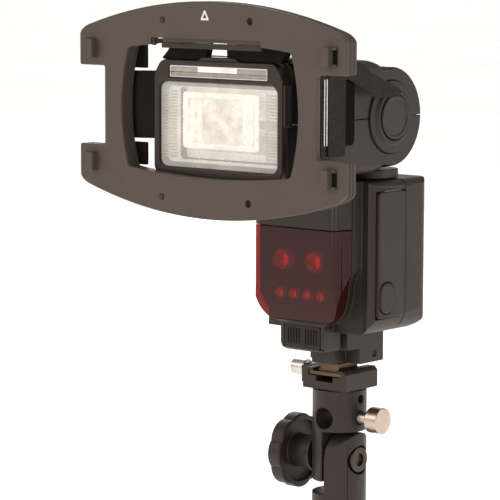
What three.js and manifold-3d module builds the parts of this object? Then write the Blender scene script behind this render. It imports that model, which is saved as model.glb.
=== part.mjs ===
// Speedlight flash on a tilting cold-shoe bracket, with a strap-on mounting frame round its head.
// Millimetres, +Z up. Origin: centre of the stand socket's bottom face. The flash faces -Y.
import * as THREE from 'three';
import { mergeVertices } from 'three/addons/utils/BufferGeometryUtils.js';
import Module from 'manifold-3d';

const wasm = await Module();
wasm.setup();

// ---- driving dimensions ------------------------------------------------------------------------
const GAP = 0.3; // clearance between neighbouring pieces

// bracket
const TUBE_R = 13;
const SOCKET_R = 8.1;
const SOCKET_DEPTH = 32;
const SHOULDER_Z = 38.1;
const TILT_Z = 54.7;
const TONGUE_FACE = 0.6; // half the gap between the two tongues
const COLLAR_Z = 68.5;
const UMBRELLA_Z = 75;
const UMBRELLA_R = 5.1;
const BLOCK_Z = [88.7, 98.6];
const BLOCK_Y = [-12.2, 12.8];
const CLAMP_Y = -2.5;
const CLAMP_Z = 96.3;
const KNOB_X = -30;
const KNOB_R = 18.2;

// foot
const PLATE_Z = [95.5, 97.1];
const FOOT_X = 15;
const FOOT_Y = [-13.6, 14.6];

// flash body
const BODY_X = 38;
const BODY_Y = [-36, 20];
const BODY_Z = [118.7, 190.5];
const SPLIT_Y = 0.2; // front shell ends here, rear shell begins
const MODULE_X = 25.2; // half width of the front module that carries the red window
const MODULE_BACK_Y = -22;
const WINDOW_Z = [124, 168];
const COVER_SKIN = 2;
const COVER_BACK = -26.4; // how far the window and the gloss panel wrap round the module's corners
const WALL = 2;
const CHIN_Z = 108.8;
const CHIN_X = 13;

// neck and head
const AXIS_Y = -11;
const AXIS_Z = 220;
const DRUM_R = 22.3;
const DRUM_X = 20;
const EAR_R = 22.9;
const HEAD_X = 37.3;
const HEAD_Z = [194.6, 246.6];
const HEAD_FRONT_Y = -83;
const HEAD_BACK_Y = -35.5;
const BEZEL_Y = [-90.4, -83.3];
const PANEL_X = 34.4;
const PANEL_Z = [198.6, 237];
const STRIP_Z = [239, 244.6];
const STRIP_X = 28.8;
const CAP_R = 16.7;
const BUTTON_R = 10.2;

// mounting frame
const FRAME_Y = [-97, -88.7];
const FRAME_Z = 225.2;
const FRAME_X = 77.5;
const FRAME_HALF_Z = 48.3;
const NOTCH_X = 62;
const NOTCH_HALF_Z = 18.1;
const SIDE_HALF_Z = 32.6;

// ---- materials ---------------------------------------------------------------------------------
const finish = (color, roughness, metalness = 0, opacity = 1) =>
  new THREE.MeshStandardMaterial({ color, roughness, metalness, opacity, transparent: opacity < 1 });
const BLACK = finish(0x2a2725, 0.6);
const GLOSS = finish(0x0f0f10, 0.12);
const FRAME_GREY = finish(0x4a4643, 0.55);
const RUBBER = finish(0x1c1b1a, 0.85);
const ALUMINIUM = finish(0x3c3a39, 0.45, 0.3);
const STEEL = finish(0xc9c2b4, 0.3, 1);
const RED = finish(0x8a0d12, 0.1, 0, 0.5);
const CLEAR = finish(0xe9e5dc, 0.15, 0, 0.4);
const WHITE = finish(0xe8e6e0, 0.6);
const SILVER = finish(0xd8d8d6, 0.15, 1);
const FABRIC = finish(0x17171a, 0.95);
const BOARD = finish(0x1f5a36, 0.6);
const CELL = finish(0x3f4a52, 0.4);
const LCD = finish(0x8c9a86, 0.3);

// ---- solids ------------------------------------------------------------------------------------
function solid(geometry) {
  const bare = geometry.clone();
  bare.deleteAttribute('normal');
  bare.deleteAttribute('uv');
  const merged = mergeVertices(bare, 1e-4);
  const vertProperties = new Float32Array(merged.attributes.position.array);
  const triVerts = new Uint32Array(merged.index.array);
  return new wasm.Manifold(new wasm.Mesh({ numProp: 3, vertProperties, triVerts }));
}
const join = (first, ...rest) => rest.reduce((a, b) => a.add(b), first);
const cut = (first, ...rest) => rest.reduce((a, b) => a.subtract(b), first);
const clip = (first, ...rest) => rest.reduce((a, b) => a.intersect(b), first);

// Matrices that carry an extrusion's (u, v, w) to the named axis w, keeping it right-handed.
const basis = (x, y, z) => new THREE.Matrix4().makeBasis(
  new THREE.Vector3(...x), new THREE.Vector3(...y), new THREE.Vector3(...z));
const ALONG = {
  x: basis([0, 1, 0], [0, 0, 1], [1, 0, 0]), // u = Y, v = Z
  y: basis([1, 0, 0], [0, 0, 1], [0, -1, 0]), // u = X, v = Z
  z: new THREE.Matrix4(), // u = X, v = Y
};

// The shape's outline as a polygon, without the doubled points where two curves meet.
function cleaned(shape, curveSegments) {
  const points = shape.getPoints(curveSegments);
  return new THREE.Shape(points.filter((p, i) => p.distanceTo(points[(i + 1) % points.length]) > 1e-3));
}

// Extrudes a shape along an axis from `from` to `to`.
function prism(axis, shape, from, to, curveSegments = 3) {
  const depth = to - from;
  const geometry = new THREE.ExtrudeGeometry(cleaned(shape, curveSegments), { depth, bevelEnabled: false });
  geometry.translate(0, 0, axis === 'y' ? -to : from);
  return solid(geometry.applyMatrix4(ALONG[axis]));
}

function polygon(points) {
  return new THREE.Shape(points.map(([u, v]) => new THREE.Vector2(u, v)));
}

function roundRect(u0, u1, v0, v1, r) {
  const s = new THREE.Shape();
  s.absarc(u1 - r, v0 + r, r, -Math.PI / 2, 0);
  s.absarc(u1 - r, v1 - r, r, 0, Math.PI / 2);
  s.absarc(u0 + r, v1 - r, r, Math.PI / 2, Math.PI);
  s.absarc(u0 + r, v0 + r, r, Math.PI, Math.PI * 1.5);
  s.closePath();
  return s;
}

function box(x0, x1, y0, y1, z0, z1) {
  const geometry = new THREE.BoxGeometry(x1 - x0, y1 - y0, z1 - z0);
  return solid(geometry.translate((x0 + x1) / 2, (y0 + y1) / 2, (z0 + z1) / 2));
}

// A round bar along an axis; (c1, c2) is its centre across the axis, in X, Y, Z order.
function rod(axis, radius, from, to, c1 = 0, c2 = 0, segments = 20) {
  const geometry = new THREE.CylinderGeometry(radius, radius, to - from, segments);
  geometry.rotateX(Math.PI / 2);
  geometry.translate(0, 0, axis === 'y' ? -(from + to) / 2 : (from + to) / 2);
  geometry.translate(c1, c2, 0);
  return solid(geometry.applyMatrix4(ALONG[axis]));
}

const parts = new THREE.Group();
function place(name, manifold, material) {
  const { numProp, vertProperties, triVerts } = manifold.getMesh();
  const positions = new Float32Array((vertProperties.length / numProp) * 3);
  for (let i = 0; i < positions.length / 3; i += 1) {
    for (let k = 0; k < 3; k += 1) positions[3 * i + k] = vertProperties[numProp * i + k];
  }
  const geometry = new THREE.BufferGeometry();
  geometry.setAttribute('position', new THREE.BufferAttribute(positions, 3));
  geometry.setIndex(new THREE.BufferAttribute(new Uint32Array(triVerts), 1));
  geometry.computeVertexNormals();
  const mesh = new THREE.Mesh(geometry, material);
  mesh.name = name;
  parts.add(mesh);
}

// ---- bracket -----------------------------------------------------------------------------------
const SCREW_HEAD_R = 6.2;
const BOLT_HOLE_R = 3.3;
const TUBE_SEGMENTS = 32;

function socketBody() {
  const tongue = new THREE.Shape();
  tongue.moveTo(-TUBE_R, SHOULDER_Z - 1);
  tongue.lineTo(TUBE_R, SHOULDER_Z - 1);
  tongue.absarc(0, TILT_Z, TUBE_R, 0, Math.PI);
  tongue.closePath();
  const upright = clip(
    prism('x', tongue, TONGUE_FACE, TUBE_R, 8),
    rod('z', TUBE_R, SHOULDER_Z - 1, COLLAR_Z, 0, 0, TUBE_SEGMENTS),
  );
  return cut(
    join(rod('z', TUBE_R, 0, SHOULDER_Z, 0, 0, TUBE_SEGMENTS), upright),
    rod('z', SOCKET_R, -1, SOCKET_DEPTH, 0, 0, 28),
    rod('x', BOLT_HOLE_R, -1, TUBE_R + 1, 0, TILT_Z),
    rod('x', 7, 8.6, TUBE_R + 1, 0, TILT_Z),
    rod('y', 2.7, 5, TUBE_R + 1, 0, 14),
  );
}

function upperTiltBody() {
  const tongue = clip(
    box(-TUBE_R, -TONGUE_FACE, -TUBE_R, TUBE_R, TILT_Z - 10.6, COLLAR_Z + 1),
    rod('z', TUBE_R, TILT_Z - 11, COLLAR_Z + 1, 0, 0, TUBE_SEGMENTS),
  );
  return cut(
    join(rod('z', TUBE_R, COLLAR_Z, BLOCK_Z[0] - GAP, 0, 0, TUBE_SEGMENTS), tongue),
    box(-TUBE_R - 1, -12, -9, 9, TILT_Z - 12, COLLAR_Z - 2), // spot face for the washer
    rod('y', UMBRELLA_R, -14, 14, 0, UMBRELLA_Z, 24),
    rod('x', 3.4, 3, 14, 0, UMBRELLA_Z),
    rod('x', 2, 7, 14, 0, 84.1, 12),
    rod('z', 5, 81.5, 90),
    rod('x', BOLT_HOLE_R, -14, 1, 0, TILT_Z),
  );
}

function knob() {
  const lobes = 8;
  const steps = lobes * 6;
  const outline = [];
  for (let i = 0; i < steps; i += 1) {
    const angle = (i / steps) * Math.PI * 2;
    const r = KNOB_R - 1.3 * (1 - Math.abs(Math.cos((lobes / 2) * angle)) ** 0.7);
    outline.push([r * Math.cos(angle), TILT_Z + r * Math.sin(angle)]);
  }
  const rimBack = KNOB_X + 7.4;
  const hub = rod('x', 8, KNOB_X + 4, -14.4, 0, TILT_Z);
  const recess = rod('x', 15, KNOB_X + 4.4, rimBack + 1, 0, TILT_Z, 32);
  return cut(
    join(cut(prism('x', polygon(outline), KNOB_X, rimBack), recess), hub),
    rod('x', BOLT_HOLE_R, KNOB_X + 2, -14, 0, TILT_Z),
  );
}

// A thumbscrew along an axis: shank from `tip` to the head, head of the given length.
function thumbScrew(axis, tip, headStart, headEnd, shankR, headR, c1, c2) {
  const toward = Math.sign(headEnd - headStart);
  const shank = [tip, headStart + 0.5 * toward].sort((a, b) => a - b);
  const head = [headStart, headEnd].sort((a, b) => a - b);
  return join(
    rod(axis, shankR, shank[0], shank[1], c1, c2, 12),
    rod(axis, headR, head[0], head[1], c1, c2, 24),
  );
}

function shoeBlock() {
  const [z0, z1] = BLOCK_Z;
  const chamfer = 1.7;
  const section = polygon([
    [-13, z0], [13, z0], [13, z1 - chamfer], [13 - chamfer, z1], [-13 + chamfer, z1], [-13, z1 - chamfer],
  ]);
  return cut(
    join(prism('y', section, ...BLOCK_Y), rod('z', 4.7, 82, z0 + 1)),
    box(-9.6, 9.6, BLOCK_Y[0] - 1, 7, PLATE_Z[0] - GAP, PLATE_Z[1] + GAP),
    box(-6.8, 6.8, BLOCK_Y[0] - 1, BLOCK_Y[1] + 1, PLATE_Z[1], z1 + 1),
    box(-5, 5, BLOCK_Y[0] - 1, 7, 92.6, PLATE_Z[0]),
    rod('x', 1.9, -14, -9, CLAMP_Y, CLAMP_Z, 12),
  );
}

function bracket() {
  place('stand_socket_body', socketBody(), ALUMINIUM);
  place('stand_lock_screw', thumbScrew('y', 8.5, 15.5, 22.3, 2.4, SCREW_HEAD_R, 0, 14), STEEL);
  place('tilt_upper_body', upperTiltBody(), ALUMINIUM);
  place('friction_disc', cut(
    rod('x', 10, -GAP, GAP, 0, TILT_Z),
    rod('x', BOLT_HOLE_R, -1, 1, 0, TILT_Z),
  ), RUBBER);
  place('tilt_bolt', thumbScrew('x', -27.5, 8.9, 12.4, 3, SCREW_HEAD_R, 0, TILT_Z), STEEL);
  place('tilt_washer', cut(
    rod('x', 9, -14, -12.3, 0, TILT_Z, 24),
    rod('x', BOLT_HOLE_R, -15, -11, 0, TILT_Z),
  ), BLACK);
  place('tilt_knob', knob(), BLACK);
  place('umbrella_screw', thumbScrew('x', 5.6, 19.4, 26.2, 3.1, SCREW_HEAD_R, 0, UMBRELLA_Z), STEEL);
  place('shoe_block', shoeBlock(), ALUMINIUM);
  place('shoe_clamp_jaw', cut(
    box(-17, -13 - GAP, -8.2, 4, 90.4, 98.4),
    rod('x', 1.9, -18, -13, CLAMP_Y, CLAMP_Z, 12),
  ), BLACK);
  place('shoe_clamp_screw', thumbScrew('x', -9.8, -17.3, -25.5, 1.6, 4, CLAMP_Y, CLAMP_Z), STEEL);
}

// ---- foot --------------------------------------------------------------------------------------
const PIN_X = 3.2;
const PIN_Y = 3.6;
const LEVER_Y = 17.2;

function foot() {
  const plateY = [-11.5, 6.5];
  place('hotshoe_foot', cut(
    join(
      box(-9.3, 9.3, ...plateY, ...PLATE_Z),
      box(-6.4, 6.4, -9, 5.5, PLATE_Z[1] - 0.5, 101.2),
    ),
    box(-4, 4, -8, 2, 90, 96.3), // contact pocket in the underside
    rod('z', 1.3, 90, 110, PIN_X, PIN_Y, 10), // lock pin hole
  ), STEEL);
  place('foot_base', cut(
    join(
      box(-FOOT_X, FOOT_X, ...FOOT_Y, 109.1, BODY_Z[0] - GAP),
      box(-6.5, 6.5, FOOT_Y[0], 2, 101.5, 110),
      box(-FOOT_X, FOOT_X, -4, FOOT_Y[1], 101.5, 110),
    ),
    box(PIN_X - 2.2, PIN_X + 2.2, PIN_Y - 2.2, PIN_Y + 2.2, 100, 107), // well for the lock pin
    box(-13, 13, FOOT_Y[1] - 6, FOOT_Y[1] + 1, 104.6, 112.4), // slot that the lever turns in
    box(FOOT_X - 1, FOOT_X + 1, 6, 9, 104, 107), // small recess in the side
  ), BLACK);
  place('foot_lock_pin', join(
    rod('z', 1, 94.3, 103, PIN_X, PIN_Y, 10),
    box(PIN_X - 1.6, PIN_X + 1.6, PIN_Y - 1.6, PIN_Y + 1.6, 102.6, 104.6),
  ), STEEL);
  place('foot_lock_lever', join(
    rod('z', 2.4, 105, 112, 0, 11.8, 16),
    box(-1.8, 1.8, 11.8, LEVER_Y, 106, 111),
    prism('z', roundRect(-9, 9, FOOT_Y[1] + 0.6, LEVER_Y + 1.6, 1.4), 105.6, 111.4, 2),
  ), BLACK);
}

// ---- flash body --------------------------------------------------------------------------------
// Plan outline of the wide body, drawn `inset` inside its outer face.
function bodyPlan(inset) {
  const x = BODY_X - inset;
  const back = BODY_Y[1] - inset;
  const r = 8 - inset;
  const s = new THREE.Shape();
  s.moveTo(-x, -4);
  s.lineTo(-26 + inset, MODULE_BACK_Y + inset);
  s.lineTo(30.5 - inset, MODULE_BACK_Y + inset);
  s.lineTo(35.2 - inset, MODULE_BACK_Y - 3 + inset); // corner post in front of the battery door
  s.lineTo(x - 0.5, -20.6 + inset);
  s.absarc(x - r, back - r, r, 0, Math.PI / 2);
  s.absarc(-x + r, back - r, r, Math.PI / 2, Math.PI);
  s.closePath();
  return s;
}

// Plan outline of the narrower front module, flaring back to the wide body on the door side.
function modulePlan(inset, back) {
  const x = MODULE_X - inset;
  const front = BODY_Y[0] + inset;
  const r = Math.max(5 - inset, 1);
  const s = new THREE.Shape();
  s.moveTo(33 - inset, back);
  s.lineTo(-27 + inset, back);
  s.lineTo(-x, front + r);
  s.absarc(-x + r, front + r, r, Math.PI, Math.PI * 1.5);
  s.absarc(x - r, front + r, r, -Math.PI / 2, 0);
  s.quadraticCurveTo(x + 1.2, -27, 33 - inset, back);
  return s;
}

// Front view of the module: straight sides that draw in at the bottom to the chin.
function moduleFace(inset) {
  const wide = 34 - inset;
  const narrow = CHIN_X - inset;
  const s = new THREE.Shape();
  s.moveTo(-narrow, CHIN_Z + inset + 3);
  s.quadraticCurveTo(-narrow, CHIN_Z + inset, -narrow + 3, CHIN_Z + inset);
  s.lineTo(narrow - 3, CHIN_Z + inset);
  s.quadraticCurveTo(narrow, CHIN_Z + inset, narrow, CHIN_Z + inset + 3);
  s.lineTo(narrow, 122.6 + inset);
  s.quadraticCurveTo(MODULE_X - 0.8 - inset, 124 + inset, MODULE_X - inset, 140);
  s.quadraticCurveTo(MODULE_X - inset + 1, 150, wide, 152);
  s.lineTo(wide, BODY_Z[1] - inset);
  s.lineTo(-wide, BODY_Z[1] - inset);
  s.lineTo(-wide, 152);
  s.quadraticCurveTo(-MODULE_X + inset - 1, 150, -MODULE_X + inset, 140);
  s.quadraticCurveTo(-MODULE_X + 0.8 + inset, 124 + inset, -narrow, 122.6 + inset);
  s.closePath();
  return s;
}

// Side view of the module: upright face that leans back below the window.
function moduleSide(inset, back) {
  const front = BODY_Y[0] + inset;
  const s = new THREE.Shape();
  s.moveTo(back, BODY_Z[1] - inset);
  s.lineTo(front + 2.5, BODY_Z[1] - inset);
  s.lineTo(front, BODY_Z[1] - inset - 3);
  s.lineTo(front, 150);
  s.quadraticCurveTo(front + 0.3, 136, -31 + inset, WINDOW_Z[0]);
  s.lineTo(-29 + inset, WINDOW_Z[0] - 2);
  s.lineTo(-29 + inset, CHIN_Z + 4 + inset);
  s.quadraticCurveTo(-28 + inset, CHIN_Z + inset, -24 + inset, CHIN_Z + inset);
  s.lineTo(back, CHIN_Z + inset);
  s.closePath();
  return s;
}

function moduleSolid(inset) {
  const back = -16;
  return clip(
    prism('z', modulePlan(inset, back), CHIN_Z, BODY_Z[1], 6),
    prism('y', moduleFace(inset), BODY_Y[0] - 1, back, 9),
    prism('x', moduleSide(inset, back), -40, 40, 8),
  );
}

function wideSolid(inset) {
  const [z0, z1] = [BODY_Z[0] + inset, BODY_Z[1] - inset];
  const r = 12 - inset;
  const x = BODY_X - inset;
  const face = new THREE.Shape();
  face.absarc(x - r, z0 + r, r, -Math.PI / 2, 0);
  face.absarc(x - 4, z1 - 4, 4, 0, Math.PI / 2);
  face.absarc(-x + 4, z1 - 4, 4, Math.PI / 2, Math.PI);
  face.absarc(-x + r, z0 + r, r, Math.PI, Math.PI * 1.5);
  face.closePath();
  const heel = 10 - inset; // radius of the lower rear edge
  const [front, back] = [BODY_Y[0] + inset, BODY_Y[1] - inset];
  const side = polygon([[back, z1], [front, z1], [front, z0]]);
  side.absarc(back - heel, z0 + heel, heel, -Math.PI / 2, 0);
  return clip(
    prism('z', bodyPlan(inset), z0, z1, 6),
    prism('y', face, BODY_Y[0], BODY_Y[1], 6),
    prism('x', side, -BODY_X - 1, BODY_X + 1, 6),
  );
}

const DOOR_Y = [-21.2, -0.4];
const RELEASE_Y = [-20, -9.4];
const RELEASE_Z = [129.3, 143.7];
const DOOR_Z = [127, 186];
const NECK_HOLE_R = 14.2;
const COVER_X = 11;
const COVER_Z = [110.6, 121.8];
const LAMP_X = 9.5;
const LED_POCKET = { x: 16, y: [-34.5, -25], z: [131, 161] };

function frontShell() {
  const skinless = clip(moduleSolid(COVER_SKIN + GAP), box(-40, 40, -40, -20, WINDOW_Z[0] - 1, 200));
  const plain = cut(moduleSolid(0), box(-40, 40, -40, COVER_BACK + GAP, WINDOW_Z[0] - GAP, 200));
  const hollow = join(
    wideSolid(WALL),
    clip(moduleSolid(WALL + 3), box(-22, 22, -31, -19, 128, 187)),
  );
  return cut(
    join(wideSolid(0), plain, skinless),
    hollow,
    box(-50, 50, SPLIT_Y, 60, 0, 300),
    rod('z', NECK_HOLE_R, 180, 200, 0, AXIS_Y, 28),
    rod('z', 18.2, 184, BODY_Z[1] - WALL, 0, AXIS_Y, 28), // room for the retaining ring
    box(34.5, 40, ...DOOR_Y, ...DOOR_Z), // battery door opening
    box(-LED_POCKET.x, LED_POCKET.x, ...LED_POCKET.y, ...LED_POCKET.z),
    box(-COVER_X, COVER_X, -40, -27.4, ...COVER_Z), // terminal recess
  );
}

const FUNCTION_X = [-13, 0, 13];
const [DIAL_X, DIAL_Z] = [14, 137];

function rearShell() {
  return cut(
    wideSolid(0),
    wideSolid(WALL),
    box(-50, 50, -60, SPLIT_Y + GAP, 0, 300),
    rod('z', NECK_HOLE_R, 180, 200, 0, AXIS_Y, 28),
    box(-23, 23, 16, 22, 158, 184), // display window
    rod('y', 9.3, 16, 22, DIAL_X, DIAL_Z, 28), // selector dial
    rod('y', 3, 16, 22, -26, 149, 14), // test button
    rod('y', 4.6, 16, 22, -14, 129, 18), // power switch
    ...FUNCTION_X.map((x) => box(x - 4.4, x + 4.4, 16, 22, 150.6, 155.4)),
  );
}

function frontCover(z0, z1) {
  const skin = cut(moduleSolid(0), moduleSolid(COVER_SKIN));
  return clip(skin, box(-40, 40, -40, COVER_BACK, z0, z1));
}

function terminalCover() {
  const ribs = [];
  const count = 8;
  for (let i = 0; i < count; i += 1) {
    const x = -8.4 + (i * 16.8) / (count - 1);
    ribs.push(box(x - 0.6, x + 0.6, -29.7, -28.6, 112.6, 119.8));
  }
  const x = COVER_X - GAP;
  return join(box(-x, x, -29, -27.7, COVER_Z[0] + GAP, COVER_Z[1] - GAP), ...ribs);
}

function batteryDoor() {
  const edge = [DOOR_Y[0] + GAP, DOOR_Y[1] - GAP, DOOR_Z[0] + GAP, DOOR_Z[1] - GAP];
  const pad = [RELEASE_Y[0] - GAP, RELEASE_Y[1] + GAP, RELEASE_Z[0] - GAP, RELEASE_Z[1] + GAP];
  return cut(
    prism('x', roundRect(...edge, 1.5), 36.6, 38.7, 2),
    prism('x', roundRect(...pad, 5), 36, 40, 4), // the release sits here
  );
}

const CELL_R = 7.1;
const CELL_Z = [130, 180];
const CELLS = [[13.9, -10.6], [28.4, -10.6], [13.9, 4.2], [28.4, 4.2]];

function flashBody() {
  place('body_front_shell', frontShell(), BLACK);
  place('body_rear_shell', rearShell(), BLACK);
  place('af_window', frontCover(...WINDOW_Z), RED);
  place('front_panel', frontCover(WINDOW_Z[1] + GAP, BODY_Z[1] - GAP), GLOSS);
  const [ledX, ledBack, [ledZ0, ledZ1]] = [LED_POCKET.x - GAP, LED_POCKET.y[1] - GAP, LED_POCKET.z];
  place('af_led_module', join(
    box(-ledX, ledX, -29, ledBack, ledZ0 + GAP, ledZ1 - GAP),
    ...[-LAMP_X, LAMP_X].map((x) => rod('y', 5, -33, -28.5, x, 152.5, 18)),
    ...[-12, -4, 4, 12].map((x) => rod('y', 2.6, -31.2, -28.5, x, 136.4, 14)),
  ), WHITE);
  place('terminal_cover', terminalCover(), RUBBER);
  place('battery_door', batteryDoor(), BLACK);
  place('battery_door_release', join(
    prism('x', roundRect(...RELEASE_Y, ...RELEASE_Z, 4.8), 37, 39.4, 4),
    box(36.3, 37.5, -18, -11.4, 132, 141),
  ), BLACK);
  CELLS.forEach(([x, y], i) => {
    place(`battery_${i + 1}`, join(
      rod('z', CELL_R, CELL_Z[0], CELL_Z[1] - 1, x, y, 20),
      rod('z', 2.6, CELL_Z[1] - 1.5, CELL_Z[1], x, y, 12),
    ), CELL);
  });
  place('battery_contacts', box(8, 33.5, -17, 11, 126.4, 129.6), STEEL);
  place('main_capacitor', rod('z', 11, 128, 178, -20, -3, 24), GLOSS);
  place('main_board', box(-34, 6, 10.4, 12, 126, 184), BOARD);
  place('lcd_display', box(-21, 21, 13, 16.4, 160, 182), LCD);
  place('lcd_window', box(-23 + GAP, 23 - GAP, 18.2, 20, 158 + GAP, 184 - GAP), CLEAR);
  place('select_dial', cut(
    join(rod('y', 9, 17.6, 22, DIAL_X, DIAL_Z, 32), rod('y', 10.4, 16.4, 17.6, DIAL_X, DIAL_Z, 24)),
    rod('y', 5.2, 16, 23, DIAL_X, DIAL_Z, 24),
  ), BLACK);
  place('ok_button', join(
    rod('y', 4.9, 17.4, 21.7, DIAL_X, DIAL_Z),
    rod('y', 5.6, 15, 16.2, DIAL_X, DIAL_Z),
    rod('y', 3, 16, 18, DIAL_X, DIAL_Z, 12),
  ), BLACK);
  place('power_switch', join(
    rod('y', 4.3, 16.4, 21.4, -14, 129, 18),
    box(-15, -13, 20.8, 22.6, 125.4, 132.6),
  ), BLACK);
  FUNCTION_X.forEach((x, i) => {
    place(`function_button_${i + 1}`, join(
      box(x - 4.1, x + 4.1, 16.6, 21.2, 150.9, 155.1),
      box(x - 5, x + 5, 16.2, 17.4, 150, 156),
    ), BLACK);
  });
  place('test_button', join(
    rod('y', 2.7, 17, 21.2, -26, 149, 14),
    rod('y', 3.8, 16.2, 17.4, -26, 149, 14),
  ), BLACK);
}

// ---- neck --------------------------------------------------------------------------------------
const SHAFT_R = 4.5;
const SHAFT_HOLE_R = 4.9;

function neck() {
  place('neck_yoke', cut(
    join(
      rod('x', DRUM_R, -DRUM_X, DRUM_X, AXIS_Y, AXIS_Z, 36),
      box(-DRUM_X, DRUM_X, -25, 3, 195, 208),
      prism('z', roundRect(-33, 33, -17.5, 6, 8), BODY_Z[1] + 0.5, 195.2, 3),
      rod('z', NECK_HOLE_R - 0.5, 184.4, 192, 0, AXIS_Y, 28),
    ),
    rod('x', SHAFT_HOLE_R, -DRUM_X - 1, DRUM_X + 1, AXIS_Y, AXIS_Z),
    rod('z', 5, 180, AXIS_Z, 0, AXIS_Y), // cable way down into the body
  ), BLACK);
  place('neck_retaining_ring', cut(
    rod('z', 17.5, 185.2, 187.8, 0, AXIS_Y, 28),
    rod('z', NECK_HOLE_R - 0.2, 180, 190, 0, AXIS_Y, 28),
  ), STEEL);
}

// ---- head --------------------------------------------------------------------------------------
// Side view of the head: a box in front, narrowing to the round ears behind.
function headSide(inset) {
  const front = HEAD_FRONT_Y - 2 * inset;
  const [z0, z1] = [HEAD_Z[0] + inset, HEAD_Z[1] - inset];
  const r = EAR_R - inset;
  const s = new THREE.Shape();
  s.moveTo(front, z0);
  s.lineTo(HEAD_BACK_Y + 5, z0);
  s.quadraticCurveTo(AXIS_Y - 12, z0, AXIS_Y - r * 0.26, AXIS_Z - r * 0.966);
  s.absarc(AXIS_Y, AXIS_Z, r, -Math.PI * 0.583, Math.PI * 0.583);
  s.quadraticCurveTo(AXIS_Y - 12, z1, HEAD_BACK_Y + 5, z1);
  s.lineTo(front, z1);
  s.closePath();
  return s;
}

function headSolid(inset) {
  const x = HEAD_X - inset;
  const front = roundRect(-x, x, HEAD_Z[0] + inset, HEAD_Z[1] - inset, 4.5 - inset);
  return clip(
    prism('x', headSide(inset), -x, x, 12),
    prism('y', front, -100, 40),
  );
}

function headShell() {
  const drumClear = rod('x', DRUM_R + 0.7, -DRUM_X - 0.5, DRUM_X + 0.5, AXIS_Y, AXIS_Z, 36);
  const behindDrum = box(-DRUM_X - 0.5, DRUM_X + 0.5, AXIS_Y, 40, 180, 260);
  const neckSweep = box(-DRUM_X - 0.5, DRUM_X + 0.5, -30, 5, 180, 210);
  const cavity = clip(headSolid(WALL), box(-50, 50, -100, HEAD_BACK_Y, 180, 260));
  const earPockets = [-1, 1].map((side) => {
    const [from, to] = side < 0 ? [-34.8, -DRUM_X - 0.2] : [DRUM_X + 0.2, 34.8];
    return cut(rod('x', 19.5, from, to, AXIS_Y, AXIS_Z, 28), rod('x', 8, from, to, AXIS_Y, AXIS_Z));
  });
  return cut(
    headSolid(0),
    cavity,
    drumClear,
    behindDrum,
    neckSweep,
    ...earPockets,
    rod('x', SHAFT_HOLE_R, -36, 36, AXIS_Y, AXIS_Z),
    rod('x', CAP_R + GAP, 36, 40, AXIS_Y, AXIS_Z, 32),
    rod('x', CAP_R + GAP, -40, -36.9, AXIS_Y, AXIS_Z, 32),
  );
}

function bezel() {
  const front = roundRect(-37.6, 37.6, HEAD_Z[0] - 0.3, HEAD_Z[1] + 0.3, 5);
  return cut(
    join(
      prism('y', front, ...BEZEL_Y),
      prism('y', roundRect(-11, 11, HEAD_Z[1] - 2, HEAD_Z[1] + 2, 1.5), BEZEL_Y[0] + 1, BEZEL_Y[1] - 1, 2),
    ),
    prism('y', roundRect(-PANEL_X - GAP, PANEL_X + GAP, PANEL_Z[0] - GAP, PANEL_Z[1] + GAP, 4), -100, -86),
    prism('y', roundRect(-33, 33, PANEL_Z[0] + 2, PANEL_Z[1] - 2, 3), -100, -80, 2),
    prism('y', roundRect(-STRIP_X, STRIP_X, ...STRIP_Z, 1), -100, -80, 2),
  );
}

const CARRIAGE_Y = [-74, -56];
const SCREW_X = 30.4;
const SCREW_Z = 204.6;

function reflector() {
  const bowl = new THREE.Shape();
  bowl.moveTo(CARRIAGE_Y[0] - 1, 204);
  bowl.quadraticCurveTo(CARRIAGE_Y[1] + 12, 207, CARRIAGE_Y[1] - 2, 217.5);
  bowl.quadraticCurveTo(CARRIAGE_Y[1] + 12, 228, CARRIAGE_Y[0] - 1, 231);
  bowl.closePath();
  return cut(
    join(
      box(-25, 25, ...CARRIAGE_Y, 201.5, 233.5),
      box(24, 33, CARRIAGE_Y[0] + 4, CARRIAGE_Y[0] + 10, 201.5, 208),
    ),
    clip(prism('x', bowl, -23, 23, 5), box(-23, 23, -90, CARRIAGE_Y[1] - 1.5, 200, 236)),
    rod('y', 1.6, -90, -40, SCREW_X, SCREW_Z, 12),
  );
}

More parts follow.
